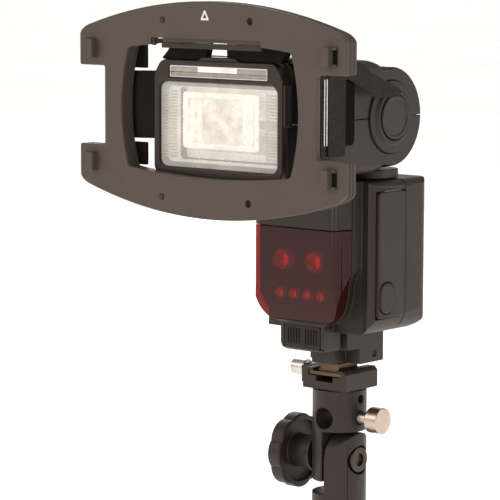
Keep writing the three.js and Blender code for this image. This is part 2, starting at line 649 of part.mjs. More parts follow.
function head() {
  const shell = headShell();
  place('head_upper_shell', clip(shell, box(-60, 60, -100, 40, AXIS_Z + GAP / 2, 260)), BLACK);
  place('head_lower_shell', clip(shell, box(-60, 60, -100, 40, 180, AXIS_Z - GAP / 2)), BLACK);
  place('head_pivot_shaft', rod('x', SHAFT_R, -35.5, 35.5, AXIS_Y, AXIS_Z), STEEL);
  place('front_bezel', bezel(), BLACK);
  place('fresnel_panel', prism('y', roundRect(-PANEL_X, PANEL_X, ...PANEL_Z, 3.6), -89, -86.4), CLEAR);
  place('reflector_carriage', reflector(), SILVER);
  place('xenon_tube', rod('x', 2, -22, 22, CARRIAGE_Y[1] - 9, 217.5, 14), CLEAR);
  place('zoom_motor', rod('y', 5, -44.5, -36, 29, SCREW_Z, 18), STEEL);
  place('zoom_lead_screw', rod('y', 1.2, -81, -44.9, SCREW_X, SCREW_Z, 10), STEEL);
  place('wide_panel', box(-28.2, 28.2, -88.6, -42, 239.4, 241), CLEAR);
  place('bounce_card', box(-28.2, 28.2, -88.6, -42, 241.7, 242.9), WHITE);
  place('pivot_cap', cut(
    join(
      rod('x', CAP_R, 36.2, 38.3, AXIS_Y, AXIS_Z, 32),
      rod('x', 12.4, 37, 39.6, AXIS_Y, AXIS_Z, 28),
    ),
    rod('x', BUTTON_R + GAP, 37.2, 41, AXIS_Y, AXIS_Z, 28),
    rod('x', 3.4, 36, 38, AXIS_Y, AXIS_Z, 12),
  ), BLACK);
  place('lock_release_button', join(
    rod('x', BUTTON_R, 38.4, 40.2, AXIS_Y, AXIS_Z, 28),
    rod('x', 3, 37.3, 39, AXIS_Y, AXIS_Z, 12),
  ), BLACK);
}

// ---- mounting frame ----------------------------------------------------------------------------
// Front view outline, `grow` mm outside the nominal edge: arched top and bottom, notched sides.
function frameOutline(grow) {
  const x = FRAME_X + grow;
  const side = SIDE_HALF_Z + grow;
  const crown = FRAME_HALF_Z + grow;
  const notchZ = NOTCH_HALF_Z - grow;
  const notchX = NOTCH_X + grow;
  const s = new THREE.Shape();
  s.moveTo(-x, FRAME_Z + side);
  s.lineTo(-x, FRAME_Z + notchZ);
  s.lineTo(-notchX, FRAME_Z + notchZ);
  s.lineTo(-notchX, FRAME_Z - notchZ);
  s.lineTo(-x, FRAME_Z - notchZ);
  s.lineTo(-x, FRAME_Z - side);
  s.quadraticCurveTo(-x + 1, FRAME_Z - side - 2.4, -x + 5, FRAME_Z - side - 4);
  s.quadraticCurveTo(0, FRAME_Z - 2 * crown + side + 4, x - 5, FRAME_Z - side - 4);
  s.quadraticCurveTo(x - 1, FRAME_Z - side - 2.4, x, FRAME_Z - side);
  s.lineTo(x, FRAME_Z - notchZ);
  s.lineTo(notchX, FRAME_Z - notchZ);
  s.lineTo(notchX, FRAME_Z + notchZ);
  s.lineTo(x, FRAME_Z + notchZ);
  s.lineTo(x, FRAME_Z + side);
  s.quadraticCurveTo(x - 1, FRAME_Z + side + 2.4, x - 5, FRAME_Z + side + 4);
  s.quadraticCurveTo(0, FRAME_Z + 2 * crown - side - 4, -x + 5, FRAME_Z + side + 4);
  s.quadraticCurveTo(-x + 1, FRAME_Z + side + 2.4, -x, FRAME_Z + side);
  return s;
}

// The window, with all four sides bowed outwards.
function frameWindow(grow) {
  const x = 47.4 + grow;
  const z = 27 + grow;
  const s = new THREE.Shape();
  s.moveTo(-x, FRAME_Z - z);
  s.quadraticCurveTo(0, FRAME_Z - z - 6.2, x, FRAME_Z - z);
  s.quadraticCurveTo(x + 8.4, FRAME_Z, x, FRAME_Z + z);
  s.quadraticCurveTo(0, FRAME_Z + z + 6.2, -x, FRAME_Z + z);
  s.quadraticCurveTo(-x - 8.4, FRAME_Z, -x, FRAME_Z - z);
  return s;
}

const PLATE_T = 2.6; // thickness of the frame's front plate
const RIM_T = 2;

function mountFrame() {
  const [y0, y1] = FRAME_Y;
  const ring = cut(prism('y', frameOutline(0), y0, y1, 7), prism('y', frameWindow(0), y0 - 1, y1 + 1, 7));
  const hollow = cut(
    prism('y', frameOutline(-RIM_T), y0 + PLATE_T, y1 + 1, 7),
    prism('y', frameWindow(RIM_T), y0, y1 + 2, 7),
  );
  const lugs = [];
  for (const sx of [-1, 1]) {
    for (const sz of [-1, 1]) {
      const [x, z] = [sx * 68.5, FRAME_Z + sz * 26];
      lugs.push(box(x - 3.8, x + 3.8, y0 - 3.6, y0 + 1, z - 4.2, z - 1.4));
      lugs.push(box(x - 3.8, x + 3.8, y0 - 3.6, y0 - 1.8, z - 4.2, z + 4.2));
    }
  }
  const bezelClear = box(-38.4, 38.4, BEZEL_Y[0] - 0.4, y1 + 1, 180, 200);
  const notchZ = [FRAME_Z - NOTCH_HALF_Z + 0.4, FRAME_Z + NOTCH_HALF_Z - 0.4];
  const notchOpen = [-64, 58].map((x) => box(x, x + 6, y0 + PLATE_T, y1 + 1, ...notchZ));
  return join(cut(ring, hollow, bezelClear, ...notchOpen), ...lugs);
}

// A leg joins the frame's rim to the head's flank: a tab above and below, and a wing that slants in
// between them. The right leg's tabs also carry flanges, with the strap's ring between the two.
const LEG_X = 44.3;
const TAB_Z = [[198.2, 208.6], [242.4, 253]];
function frameLeg(side) {
  const span = (a, b) => [side * a, side * b].sort((p, q) => p - q);
  const reach = side < 0 ? -80 : -84.8;
  const wing = [[57.4, -88.4], [57.4, -86.8], [LEG_X + 2, reach], [LEG_X, reach], [LEG_X, reach - 2]];
  const plan = wing.map(([x, y]) => [side * x, y]);
  const tabs = TAB_Z.map((z) => box(...span(LEG_X, 54), -88.4, -86.4, ...z));
  const flanges = TAB_Z.map((z) => box(...span(LEG_X, LEG_X + 2), -88, -70, ...z));
  return join(
    box(...span(53, 57.4), -88.4, -86.8, TAB_Z[0][0], TAB_Z[1][1]),
    prism('z', polygon(side < 0 ? plan.reverse() : plan), 210, 241),
    ...tabs,
    ...(side < 0 ? [] : flanges),
  );
}

// One band round the head: close to its left flank, and out at the ring on the right.
const STRAP_Y = [-82, -70.6];
function strap() {
  const outer = roundRect(-39.4, 43.9, 192.7, 248.5, 5);
  const inner = roundRect(-37.9, 42.3, 194.2, 247, 4);
  return cut(prism('y', outer, ...STRAP_Y, 5), prism('y', inner, -100, -50, 5));
}

function strapTail() {
  const path = [[44.6, -68.8], [44.6, -52], [43.4, -36], [43.0, -12]];
  const outline = polygon([
    ...path, ...path.slice().reverse().map(([x, y]) => [x + 1.4, y + 0.2]),
  ]);
  const flank = polygon([
    [-69, 205], [-56, 205], [-56, 240.2], [-44.5, 235.8], [-33.3, 230.4], [-14.5, 229.6],
    [-12.3, 232.6], [-26, 237.7], [-37.2, 241.8], [-45.3, 246.5], [-55.4, 241.1], [-69, 241.1],
  ]);
  return clip(prism('z', outline, 200, 255), prism('x', flank, 40, 50));
}

function mountingFrame() {
  place('mount_frame', mountFrame(), FRAME_GREY);
  place('frame_leg_left', frameLeg(-1), BLACK);
  place('frame_leg_right', frameLeg(1), BLACK);
  place('strap', strap(), FABRIC);
  place('strap_tail', strapTail(), FABRIC);
  place('strap_ring', cut(
    prism('x', roundRect(-84.2, -69.2, 209, 242, 1.5), LEG_X, LEG_X + 2, 2),
    box(44, 47, -81.8, -72.4, 211.8, 239.2),
  ), STEEL);
}

bracket();
foot();
flashBody();
neck();
head();
mountingFrame();

export default parts;
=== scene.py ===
"""Speedlight flash on a tilting umbrella bracket, with a strap-on mounting frame round its head.

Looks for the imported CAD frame. Lengths below are in millimetres unless a name says otherwise, and are turned
into metres by MM. +Z is up and the flash faces -Y.
"""

import math
import random

import bmesh
import bpy
from mathutils import Matrix, Vector, noise


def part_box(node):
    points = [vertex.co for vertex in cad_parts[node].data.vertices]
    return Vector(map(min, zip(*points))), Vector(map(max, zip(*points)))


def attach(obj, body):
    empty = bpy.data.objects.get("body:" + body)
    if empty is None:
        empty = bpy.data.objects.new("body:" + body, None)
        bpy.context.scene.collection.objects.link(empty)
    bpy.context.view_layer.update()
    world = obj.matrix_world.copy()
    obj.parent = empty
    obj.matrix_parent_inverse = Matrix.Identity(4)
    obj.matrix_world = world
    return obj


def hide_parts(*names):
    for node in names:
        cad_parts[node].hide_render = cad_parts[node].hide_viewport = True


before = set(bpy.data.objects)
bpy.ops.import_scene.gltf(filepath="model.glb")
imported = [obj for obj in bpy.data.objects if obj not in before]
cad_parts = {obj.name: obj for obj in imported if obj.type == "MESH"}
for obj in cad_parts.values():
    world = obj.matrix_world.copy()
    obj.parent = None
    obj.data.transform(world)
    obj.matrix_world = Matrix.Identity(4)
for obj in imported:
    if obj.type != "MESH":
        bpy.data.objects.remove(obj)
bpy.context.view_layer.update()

MM = 0.001
random.seed(11)


def cad(node):
    """Lowest and highest corner of a CAD node, in mm."""
    low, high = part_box(node)
    return low / MM, high / MM


# ---- camera, light and floor ---------------------------------------------------------------------
def make_camera():
    azimuth, elevation, roll = (math.radians(v) for v in (40.02, 7.02, 0.17))
    back = Vector(
        (
            math.sin(azimuth) * math.cos(elevation),
            -math.cos(azimuth) * math.cos(elevation),
            math.sin(elevation),
        )
    )
    right = Vector((math.cos(azimuth), math.sin(azimuth), 0))
    up = back.cross(right)
    x = right * math.cos(roll) + up * math.sin(roll)
    y = up * math.cos(roll) - right * math.sin(roll)
    data = bpy.data.cameras.new("camera")
    data.lens = 181.0
    data.sensor_width = 36.0
    data.clip_start = 0.02
    data.clip_end = 60
    camera = bpy.data.objects.new("camera", data)
    camera.matrix_world = Matrix.Translation((0.72885, -0.93496, 0.30016)) @ Matrix(
        (x, y, back)
    ).transposed().to_4x4()
    bpy.context.scene.collection.objects.link(camera)
    bpy.context.scene.camera = camera


def area_light(name, place, target, size, watts, colour=(1, 1, 1)):
    data = bpy.data.lights.new(name, "AREA")
    data.shape = "RECTANGLE"
    data.size, data.size_y = size
    data.energy = watts
    data.color = colour
    light = bpy.data.objects.new(name, data)
    light.location = place
    light.rotation_euler = (
        (Vector(target) - Vector(place)).to_track_quat("-Z", "Y").to_euler()
    )
    bpy.context.scene.collection.objects.link(light)


def make_studio():
    world = bpy.data.worlds.new("world")
    world.use_nodes = True
    sky = world.node_tree.nodes["Background"]
    sky.inputs["Color"].default_value = (1, 0.93, 0.875, 1)
    sky.inputs["Strength"].default_value = 0.40
    bpy.context.scene.world = world
    bpy.context.scene.view_settings.view_transform = "Standard"
    centre = (0, -0.03, 0.17)
    area_light("key_left", (-0.75, -1.35, 0.95), centre, (0.9, 0.9), 7, (1, 0.95, 0.91))
    area_light("front_right", (1.35, -0.85, 0.45), centre, (0.22, 1.2), 2.4, (1, 0.95, 0.91))
    area_light("front_strip", (0.45, -1.45, 0.30), centre, (0.20, 1.2), 2.6, (1, 0.95, 0.91))
    area_light("back_right", (1.2, 0.9, 0.6), centre, (0.4, 1.2), 2.8, (1, 0.94, 0.89))
    area_light("top", (0.0, 0.1, 1.5), centre, (1.1, 1.1), 5, (1, 0.97, 0.94))
    area_light("back_left", (-1.1, 0.9, 0.6), centre, (0.6, 1.2), 5)


# ---- materials -----------------------------------------------------------------------------------
class Nodes:
    """Short forms for building one material's node tree."""

    def __init__(self, name):
        self.material = bpy.data.materials.new(name)
        self.material.use_nodes = True
        self.tree = self.material.node_tree
        self.bsdf = self.tree.nodes["Principled BSDF"]
        self.where = self.add("ShaderNodeTexCoord").outputs["Object"]

    def add(self, kind, **values):
        node = self.tree.nodes.new(kind)
        for key, value in values.items():
            setattr(node, key, value)
        return node

    def link(self, source, target):
        self.tree.links.new(source, target)

    def scaled(self, x, y, z):
        """Object coordinates in mm, stretched by x, y and z."""
        node = self.add("ShaderNodeMapping")
        node.inputs["Scale"].default_value = (x / MM, y / MM, z / MM)
        self.link(self.where, node.inputs["Vector"])
        return node.outputs["Vector"]

    def noise(self, per_mm, detail=3.0, rough=0.55, stretch=(1, 1, 1)):
        node = self.add("ShaderNodeTexNoise")
        node.inputs["Scale"].default_value = 1.0
        node.inputs["Detail"].default_value = detail
        node.inputs["Roughness"].default_value = rough
        self.link(self.scaled(*(per_mm * s for s in stretch)), node.inputs["Vector"])
        return node.outputs["Fac"]

    def cells(self, per_mm, stretch=(1, 1, 1)):
        node = self.add("ShaderNodeTexVoronoi")
        node.inputs["Scale"].default_value = 1.0
        self.link(self.scaled(*(per_mm * s for s in stretch)), node.inputs["Vector"])
        return node.outputs["Distance"]

    def waves(self, per_mm, axis, distortion=0.0):
        node = self.add("ShaderNodeTexWave", wave_type="BANDS", bands_direction=axis)
        node.inputs["Scale"].default_value = 1.0
        node.inputs["Distortion"].default_value = distortion
        self.link(self.scaled(per_mm, per_mm, per_mm), node.inputs["Vector"])
        return node.outputs["Fac"]

    def ramp(self, source, *stops):
        node = self.add("ShaderNodeValToRGB")
        elements = node.color_ramp.elements
        while len(elements) < len(stops):
            elements.new(0.5)
        for element, (at, colour) in zip(elements, stops):
            element.position = at
            element.color = (*colour, 1) if len(colour) == 3 else colour
        self.link(source, node.inputs["Fac"])
        return node.outputs["Color"]

    def between(self, source, low, high):
        """source from 0 to 1, carried to low to high."""
        node = self.add("ShaderNodeMapRange")
        node.inputs["To Min"].default_value = low
        node.inputs["To Max"].default_value = high
        self.link(source, node.inputs["Value"])
        return node.outputs["Result"]

    def maths(self, kind, a, b):
        node = self.add("ShaderNodeMath", operation=kind)
        for socket, value in zip(node.inputs, (a, b)):
            if isinstance(value, (int, float)):
                socket.default_value = value
            else:
                self.link(value, socket)
        return node.outputs["Value"]

    def colour(self, source):
        self.link(source, self.bsdf.inputs["Base Color"])

    def rough(self, source):
        self.link(source, self.bsdf.inputs["Roughness"])

    def bump(self, height, depth_mm, strength=1.0):
        node = self.add("ShaderNodeBump")
        node.inputs["Strength"].default_value = strength
        node.inputs["Distance"].default_value = depth_mm * MM
        self.link(height, node.inputs["Height"])
        self.link(node.outputs["Normal"], self.bsdf.inputs["Normal"])

    def glow(self, colour, strength):
        """Emission painted into the colour. On the lens, strip, tunnel, reflector, lamp bowls and glints it is painted
        light standing in for light reaching or reflected by the part; on the floor it keeps the backdrop evenly
        bright.
        """
        if strength:
            self.link(colour, self.bsdf.inputs["Emission Color"])
            self.bsdf.inputs["Emission Strength"].default_value = strength

    def set(self, **values):
        for key, value in values.items():
            self.bsdf.inputs[key.replace("_", " ")].default_value = value


WARM_SHINE = (1.0, 0.80, 0.72, 1.0)


def tone(colour, factor):
    return tuple(min(1.0, c * factor) for c in colour)


def moulded(name, colour, roughness, grain=0.018, per_mm=2.4, speck=0.18, shine=0.42):
    """Moulded plastic: a fine spark-eroded grain, faint cloudiness and handling marks in the gloss."""
    n = Nodes(name)
    cloud = n.noise(0.05, 4.0)
    fine = n.noise(per_mm, 2.0, 0.6)
    mix = n.maths("ADD", n.maths("MULTIPLY", cloud, 0.75), n.maths("MULTIPLY", fine, 0.25))
    n.colour(n.ramp(mix, (0.3, tone(colour, 1 - speck)), (0.7, tone(colour, 1 + speck))))
    wear = n.noise(0.16, 5.0, 0.65, (1, 1, 0.5))
    n.rough(n.between(wear, roughness - 0.07, roughness + 0.08))
    n.bump(n.maths("ADD", fine, n.maths("MULTIPLY", n.cells(per_mm * 1.3), 0.5)), grain)
    n.set(Specular_IOR_Level=shine, Specular_Tint=WARM_SHINE)
    return n.material


def gloss(name, colour):
    """Polished black plastic with faint swirls."""
    n = Nodes(name)
    swirl = n.noise(0.5, 6.0, 0.7, (1, 1, 0.25))
    n.colour(n.ramp(n.noise(0.08, 3.0), (0.35, tone(colour, 0.8)), (0.65, tone(colour, 1.25))))
    n.rough(n.between(swirl, 0.05, 0.17))
    n.bump(n.noise(0.05, 1.0), 0.03)
    n.set(Coat_Weight=0.12, Coat_Roughness=0.06, Specular_IOR_Level=0.4, Specular_Tint=WARM_SHINE)
    return n.material


def metal(name, colour, rough_low, rough_high, stretch=(1, 1, 1), depth=0.004, metallic=1.0):
    """Turned or plated metal: fine tool lines along the directions that stretch leaves long."""
    n = Nodes(name)
    lines = n.noise(3.0, 4.0, 0.7, stretch)
    stain = n.noise(0.12, 4.0, 0.6)
    n.colour(n.ramp(stain, (0.3, tone(colour, 0.86)), (0.7, tone(colour, 1.08))))
    n.rough(n.between(lines, rough_low, rough_high))
    n.bump(lines, depth)
    n.set(Metallic=metallic)
    return n.material


def hook_and_loop(name, colour):
    """Loop pile: tangled fibres over a woven base."""
    n = Nodes(name)
    pile = n.cells(1.5)
    fuzz = n.noise(2.6, 5.0, 0.75)
    height = n.maths("ADD", n.maths("MULTIPLY", pile, 0.9), fuzz)
    n.colour(n.ramp(height, (0.45, tone(colour, 0.25)), (1.05, tone(colour, 3.4))))
    n.rough(n.between(fuzz, 0.8, 1.0))
    n.bump(height, 0.28)
    n.set(Sheen_Weight=0.04, Sheen_Roughness=0.5, Specular_IOR_Level=0.2)
    return n.material


def webbing(name, colour):
    """Close woven webbing."""
    n = Nodes(name)
    across = n.waves(0.42, "Y")
    along = n.maths("ADD", n.waves(0.42, "Z"), n.waves(0.42, "X"))
    weave = n.maths("MULTIPLY", across, along)
    n.colour(n.ramp(weave, (0.0, tone(colour, 0.6)), (1.0, tone(colour, 1.5))))
    n.rough(n.between(n.noise(1.2), 0.6, 0.85))
    n.bump(weave, 0.12)
    n.set(Sheen_Weight=0.03, Specular_IOR_Level=0.2)
    return n.material


def see_through(name, tint, surface, solid, rough_low, rough_high, per_mm=0.3, bump_mm=0.0, glow=0.0):
    """Clear plastic: a tinted view through, mixed with a glossy surface of its own."""
    n = Nodes(name)
    cloud = n.noise(per_mm, 4.0, 0.6)
    body = n.ramp(cloud, (0.3, tone(surface, 0.82)), (0.7, tone(surface, 1.12)))
    n.colour(body)
    # glow is painted light: emission in a clear part that is no lamp
    n.glow(body, glow)
    n.rough(n.between(cloud, rough_low, rough_high))
    if bump_mm:
        n.bump(cloud, bump_mm)
    n.set(Coat_Weight=0.3, Coat_Roughness=0.05)
    through = n.add("ShaderNodeBsdfTransparent")
    through.inputs["Color"].default_value = (*tint, 1)
    mix = n.add("ShaderNodeMixShader")
    mix.inputs["Fac"].default_value = solid
    n.link(through.outputs["BSDF"], mix.inputs[1])
    n.link(n.bsdf.outputs["BSDF"], mix.inputs[2])
    n.link(mix.outputs["Shader"], n.tree.nodes["Material Output"].inputs["Surface"])
    return n.material


def plain_detail(name, low, high, rough_low, rough_high, per_mm=0.6, depth=0.01, glow=0.0, **values):
    n = Nodes(name)
    mottle = n.noise(per_mm, 4.0, 0.6)
    body = n.ramp(mottle, (0.3, low), (0.7, high))
    n.colour(body)
    # glow is painted light: emission in a part that is no lamp
    n.glow(body, glow)
    n.rough(n.between(mottle, rough_low, rough_high))
    n.bump(mottle, depth)
    n.set(**values)
    return n.material


def circuit(name):
    """Solder mask with darker and lighter tracks."""
    n = Nodes(name)
    tracks = n.maths("MULTIPLY", n.waves(0.12, "X", 2.0), n.waves(0.1, "Z", 3.0))
    n.colour(n.ramp(tracks, (0.2, (0.012, 0.09, 0.035)), (0.5, (0.03, 0.19, 0.08)), (0.9, (0.35, 0.28, 0.12))))
    n.rough(n.between(n.noise(0.5), 0.3, 0.5))
    n.bump(tracks, 0.05)
    return n.material


def display(name):
    """Reflective liquid-crystal display, with a fine pixel grid."""
    n = Nodes(name)
    grid = n.maths("MULTIPLY", n.waves(0.5, "X"), n.waves(0.5, "Z"))
    n.colour(n.ramp(grid, (0.0, (0.20, 0.25, 0.17)), (1.0, (0.30, 0.36, 0.25))))
    n.rough(n.between(n.noise(0.3), 0.15, 0.3))
    n.bump(grid, 0.01)
    return n.material


WARM_BLACK = (0.026, 0.0205, 0.0175)
FINISH = {
    "black": moulded("black_plastic", WARM_BLACK, 0.46),
    "black_fine": moulded("black_plastic_fine", tone(WARM_BLACK, 0.95), 0.36, 0.008, 3.2),
    "grey": moulded("frame_plastic", (0.075, 0.0605, 0.0535), 0.50, 0.014, 2.0, 0.10),
    "leg": moulded("leg_plastic", (0.008, 0.006, 0.0055), 0.40, 0.012, 2.2, shine=0.16),
    "grip": moulded("grip_rubber", (0.006, 0.005, 0.0045), 0.62, 0.02, 1.8, shine=0.12),
    "gloss": gloss("gloss_black", (0.010, 0.009, 0.009)),
    "rubber": moulded("rubber", (0.022, 0.018, 0.016), 0.68, 0.03, 1.6),
    "coat": moulded("bracket_coat", (0.026, 0.021, 0.019), 0.42, 0.012, 3.0, 0.12),
    "champagne": metal("champagne_plate", (0.60, 0.50, 0.415), 0.24, 0.42, (0.15, 1, 1)),
    "silver": metal("silver_plate", (0.66, 0.63, 0.60), 0.18, 0.36, (0.2, 1, 1)),
    # painted shade: this brass is darkened far below real brass, standing in for the shade in the gap round the
    # hot-shoe foot
    "brass": metal("shoe_plate", (0.13, 0.085, 0.055), 0.18, 0.36, (1, 0.1, 1)),
    "steel": metal("steel", (0.62, 0.58, 0.54), 0.2, 0.38, (0.15, 1, 1)),
    "dark_steel": metal("dark_steel", (0.085, 0.066, 0.055), 0.28, 0.45, (1, 1, 1), 0.006),
    # the reflector mirror's small emission is painted light
    "mirror": plain_detail("reflector_mirror", (0.86, 0.85, 0.82), (0.95, 0.94, 0.91), 0.10, 0.25, 0.2, 0.02, 0.12, Metallic=0.85),
    "white": plain_detail("white_plastic", (0.74, 0.71, 0.66), (0.82, 0.79, 0.74), 0.35, 0.5, 0.8),
    # the tunnel's emission is painted glow, standing in for light reaching the white walls inside the head
    "tunnel": plain_detail("tunnel_painted_glow", (0.66, 0.64, 0.60), (0.86, 0.84, 0.80), 0.35, 0.5, 0.12, 0.02, 0.30),
    # the lens centre, its rim and its bars glow: painted light in parts that are no lamp
    "core": plain_detail("lens_core", (0.42, 0.385, 0.33), (1.0, 0.985, 0.95), 0.30, 0.5, 0.20, 0.02, 0.34),
    "core_edge": plain_detail("lens_core_edge", (0.70, 0.68, 0.64), (1.0, 0.985, 0.96), 0.2, 0.35, 0.22, 0.02, 0.52),
    "rib": plain_detail("lens_rib", (0.40, 0.37, 0.33), (0.54, 0.50, 0.45), 0.2, 0.35, 0.5),
    # near-black sheet material: painted shade for the dark opening between strap and head
    "pad": moulded("leg_painted_shade", (0.0016, 0.0012, 0.0010), 0.5, 0.012, 2.2, shine=0.05),
    # glowing patches in the lamp bowls: painted highlights, not lit lamps
    "glint": plain_detail("lamp_glint", (0.9, 0.55, 0.5), (1.0, 0.8, 0.75), 0.2, 0.3, 1.2, 0.02, 2.2),
    # the strip's emission is painted glow
    "strip": see_through("strip_clear", (0.80, 0.76, 0.72), (0.44, 0.40, 0.36), 0.55, 0.12, 0.26, 0.3, 0.0, 0.35),
    "loop": hook_and_loop("loop_fabric", (0.0105, 0.0075, 0.0062)),
    "webbing": webbing("webbing", (0.012, 0.010, 0.009)),
    # the lens's emission is painted glow, standing in for light reaching it from inside the head
    "lens": see_through("lens_clear", (0.97, 0.955, 0.93), (0.87, 0.845, 0.80), 0.28, 0.10, 0.26, 0.14, 0.02, 0.18),
    "pane": see_through("pane_clear", (0.80, 0.76, 0.72), (0.36, 0.32, 0.29), 0.40, 0.08, 0.2, 0.3),
    "red": see_through("red_window", (0.60, 0.045, 0.045), (0.075, 0.016, 0.013), 0.40, 0.05, 0.12, 0.2),
    "led": plain_detail("led_body", (0.05, 0.02, 0.02), (0.10, 0.04, 0.035), 0.3, 0.5),
    # the lamp bowls' emission is painted glow; the lamps are not lit
    "reflex": plain_detail("led_reflector", (0.60, 0.34, 0.30), (0.98, 0.74, 0.70), 0.12, 0.25, 0.8, 0.03, 0.35, Metallic=0.4),
    "board": circuit("circuit_board"),
    "cell": plain_detail("cell_jacket", (0.035, 0.045, 0.06), (0.05, 0.065, 0.085), 0.2, 0.35, 0.3),
    "lcd": display("lcd"),
    "ink": plain_detail("lcd_ink", (0.015, 0.018, 0.015), (0.03, 0.035, 0.03), 0.3, 0.45),
    # pale print; the same material makes the painted highlight rims on the slot panels' front ends
    "mark": plain_detail("printed_mark_and_painted_highlight", (0.72, 0.70, 0.66), (0.85, 0.83, 0.79), 0.4, 0.55, 2.0, 0.01),
}


# ---- outlines ------------------------------------------------------------------------------------
def quad(start, control, end, steps):
    """Points of a quadratic curve, without its start."""
    points = []
    for i in range(1, steps + 1):
        t = i / steps
        points.append(
            tuple(
                (1 - t) ** 2 * a + 2 * t * (1 - t) * b + t * t * c
                for a, b, c in zip(start, control, end)
            )
        )
    return points


def fillet(points, radius, steps=5, closed=True):
    """Rounds the outline's corners that turn by more than 18 degrees."""
    out = []
    count = len(points)
    for i, point in enumerate(points):
        if not closed and i in (0, count - 1):
            out.append(tuple(point))
            continue
        p = Vector(point)
        before = Vector(points[i - 1]) - p
        after = Vector(points[(i + 1) % count]) - p
        angle = before.angle(after)
        r = radius[i] if isinstance(radius, (list, tuple)) else radius
        if angle > math.pi - 0.31 or r <= 0:
            out.append(tuple(p))
            continue
        reach = min(r / math.tan(angle / 2), 0.49 * before.length, 0.49 * after.length)
        r = reach * math.tan(angle / 2)
        before.normalize()
        after.normalize()
        centre = p + (before + after).normalized() * (r / math.sin(angle / 2))
        start = p + before * reach - centre
        end = p + after * reach - centre
        turn = start.angle_signed(end)
        for k in range(steps + 1):
            c, s = math.cos(-turn * k / steps), math.sin(-turn * k / steps)
            out.append((centre.x + start.x * c - start.y * s, centre.y + start.x * s + start.y * c))
    return out


def round_rect(u0, u1, v0, v1, r, steps=8):
    return fillet([(u0, v0), (u1, v0), (u1, v1), (u0, v1)], r, steps)


def circle(u, v, r, steps=48):
    return [
        (u + r * math.cos(2 * math.pi * i / steps), v + r * math.sin(2 * math.pi * i / steps))
        for i in range(steps)
    ]


# ---- meshes --------------------------------------------------------------------------------------
AXES = {
    "x": Matrix(((0, 0, 1), (1, 0, 0), (0, 1, 0))),  # u = Y, v = Z
    "y": Matrix(((1, 0, 0), (0, 0, -1), (0, 1, 0))),  # u = X, v = Z
    "z": Matrix.Identity(3),  # u = X, v = Y
}


def new_object(name, mesh):
    piece = bpy.data.objects.new(name, mesh)
    bpy.context.scene.collection.objects.link(piece)
    return piece


def slab(name, loops, axis, low, high, edge=0.4, steps=3):
    """A plate with rounded edges, from low to high along axis. The first outline is its edge, the rest are holes."""
    curve = bpy.data.curves.new(name, "CURVE")
    curve.dimensions = "2D"
    curve.fill_mode = "BOTH"
    curve.extrude = (high - low) / 2 - edge
    curve.bevel_depth = edge
    curve.bevel_resolution = steps - 1
    curve.offset = -edge
    for loop in loops:
        spline = curve.splines.new("POLY")
        spline.points.add(len(loop) - 1)
        for point, (u, v) in zip(spline.points, loop):
            point.co = (u, v, 0, 1)
        spline.use_cyclic_u = True
    shape = new_object(name + "_curve", curve)
    bpy.context.view_layer.update()
    mesh = bpy.data.meshes.new_from_object(
        shape.evaluated_get(bpy.context.evaluated_depsgraph_get())
    )
    bpy.data.objects.remove(shape)
    bpy.data.curves.remove(curve)
    mesh.name = name
    middle = (low + high) / 2
    lift = Matrix.Translation((0, 0, -middle if axis == "y" else middle))
    mesh.transform(Matrix.Scale(MM, 4) @ AXES[axis].to_4x4() @ lift)
    work = bmesh.new()
    work.from_mesh(mesh)
    bmesh.ops.remove_doubles(work, verts=work.verts, dist=1e-6)
    bmesh.ops.dissolve_degenerate(work, edges=work.edges, dist=1e-7)
    bmesh.ops.recalc_face_normals(work, faces=work.faces)
    work.to_mesh(mesh)
    work.free()
    return new_object(name, mesh)


def lathe(name, profile, axis, c1, c2, steps=96, shape=None, closed=False):
    """Turns (along, radius) points about an axis through (c1, c2). shape(angle, along, radius) may change a radius."""
    work = bmesh.new()
    rings = []
    for along, radius in profile:
        if radius < 1e-6:
            rings.append([work.verts.new((0, 0, along))])
            continue
        ring = []
        for i in range(steps):
            angle = 2 * math.pi * i / steps
            r = shape(angle, along, radius) if shape else radius
            ring.append(work.verts.new((r * math.cos(angle), r * math.sin(angle), along)))
        rings.append(ring)
    pairs = list(zip(rings, rings[1:]))
    if closed:
        pairs.append((rings[-1], rings[0]))
    for a, b in pairs:
        for i in range(steps):
            j = (i + 1) % steps
            if len(a) == 1:
                work.faces.new((a[0], b[i], b[j]))
            elif len(b) == 1:
                work.faces.new((a[i], a[j], b[0]))
            else:
                work.faces.new((a[i], a[j], b[j], b[i]))
    bmesh.ops.recalc_face_normals(work, faces=work.faces)
    mesh = bpy.data.meshes.new(name)
    work.to_mesh(mesh)
    work.free()
    flip = Matrix.Scale(-1, 4, (0, 0, 1)) if axis == "y" else Matrix.Identity(4)
    mesh.transform(
        Matrix.Scale(MM, 4) @ AXES[axis].to_4x4() @ Matrix.Translation((c1, c2, 0)) @ flip
    )
    if axis == "y":
        mesh.flip_normals()
    return new_object(name, mesh)


def block(name, low, high, edge=0.4, steps=3):
    """A box with rounded edges."""
    work = bmesh.new()
    bmesh.ops.create_cube(work, size=1)
    size = Vector(high) - Vector(low)
    middle = (Vector(high) + Vector(low)) / 2
    for vert in work.verts:
        vert.co = Vector(c * s for c, s in zip(vert.co, size)) + middle
    bmesh.ops.bevel(
        work, geom=list(work.edges), offset=edge, segments=steps, profile=0.5, affect="EDGES"
    )
    for vert in work.verts:
        vert.co *= MM
    mesh = bpy.data.meshes.new(name)
    work.to_mesh(mesh)
    work.free()
    return new_object(name, mesh)


def merged(name, pieces):
    """One object of several closed pieces."""
    work = bmesh.new()
    for piece in pieces:
        work.from_mesh(piece.data)
        bpy.data.objects.remove(piece)
    mesh = bpy.data.meshes.new(name)
    work.to_mesh(mesh)
    work.free()
    return new_object(name, mesh)


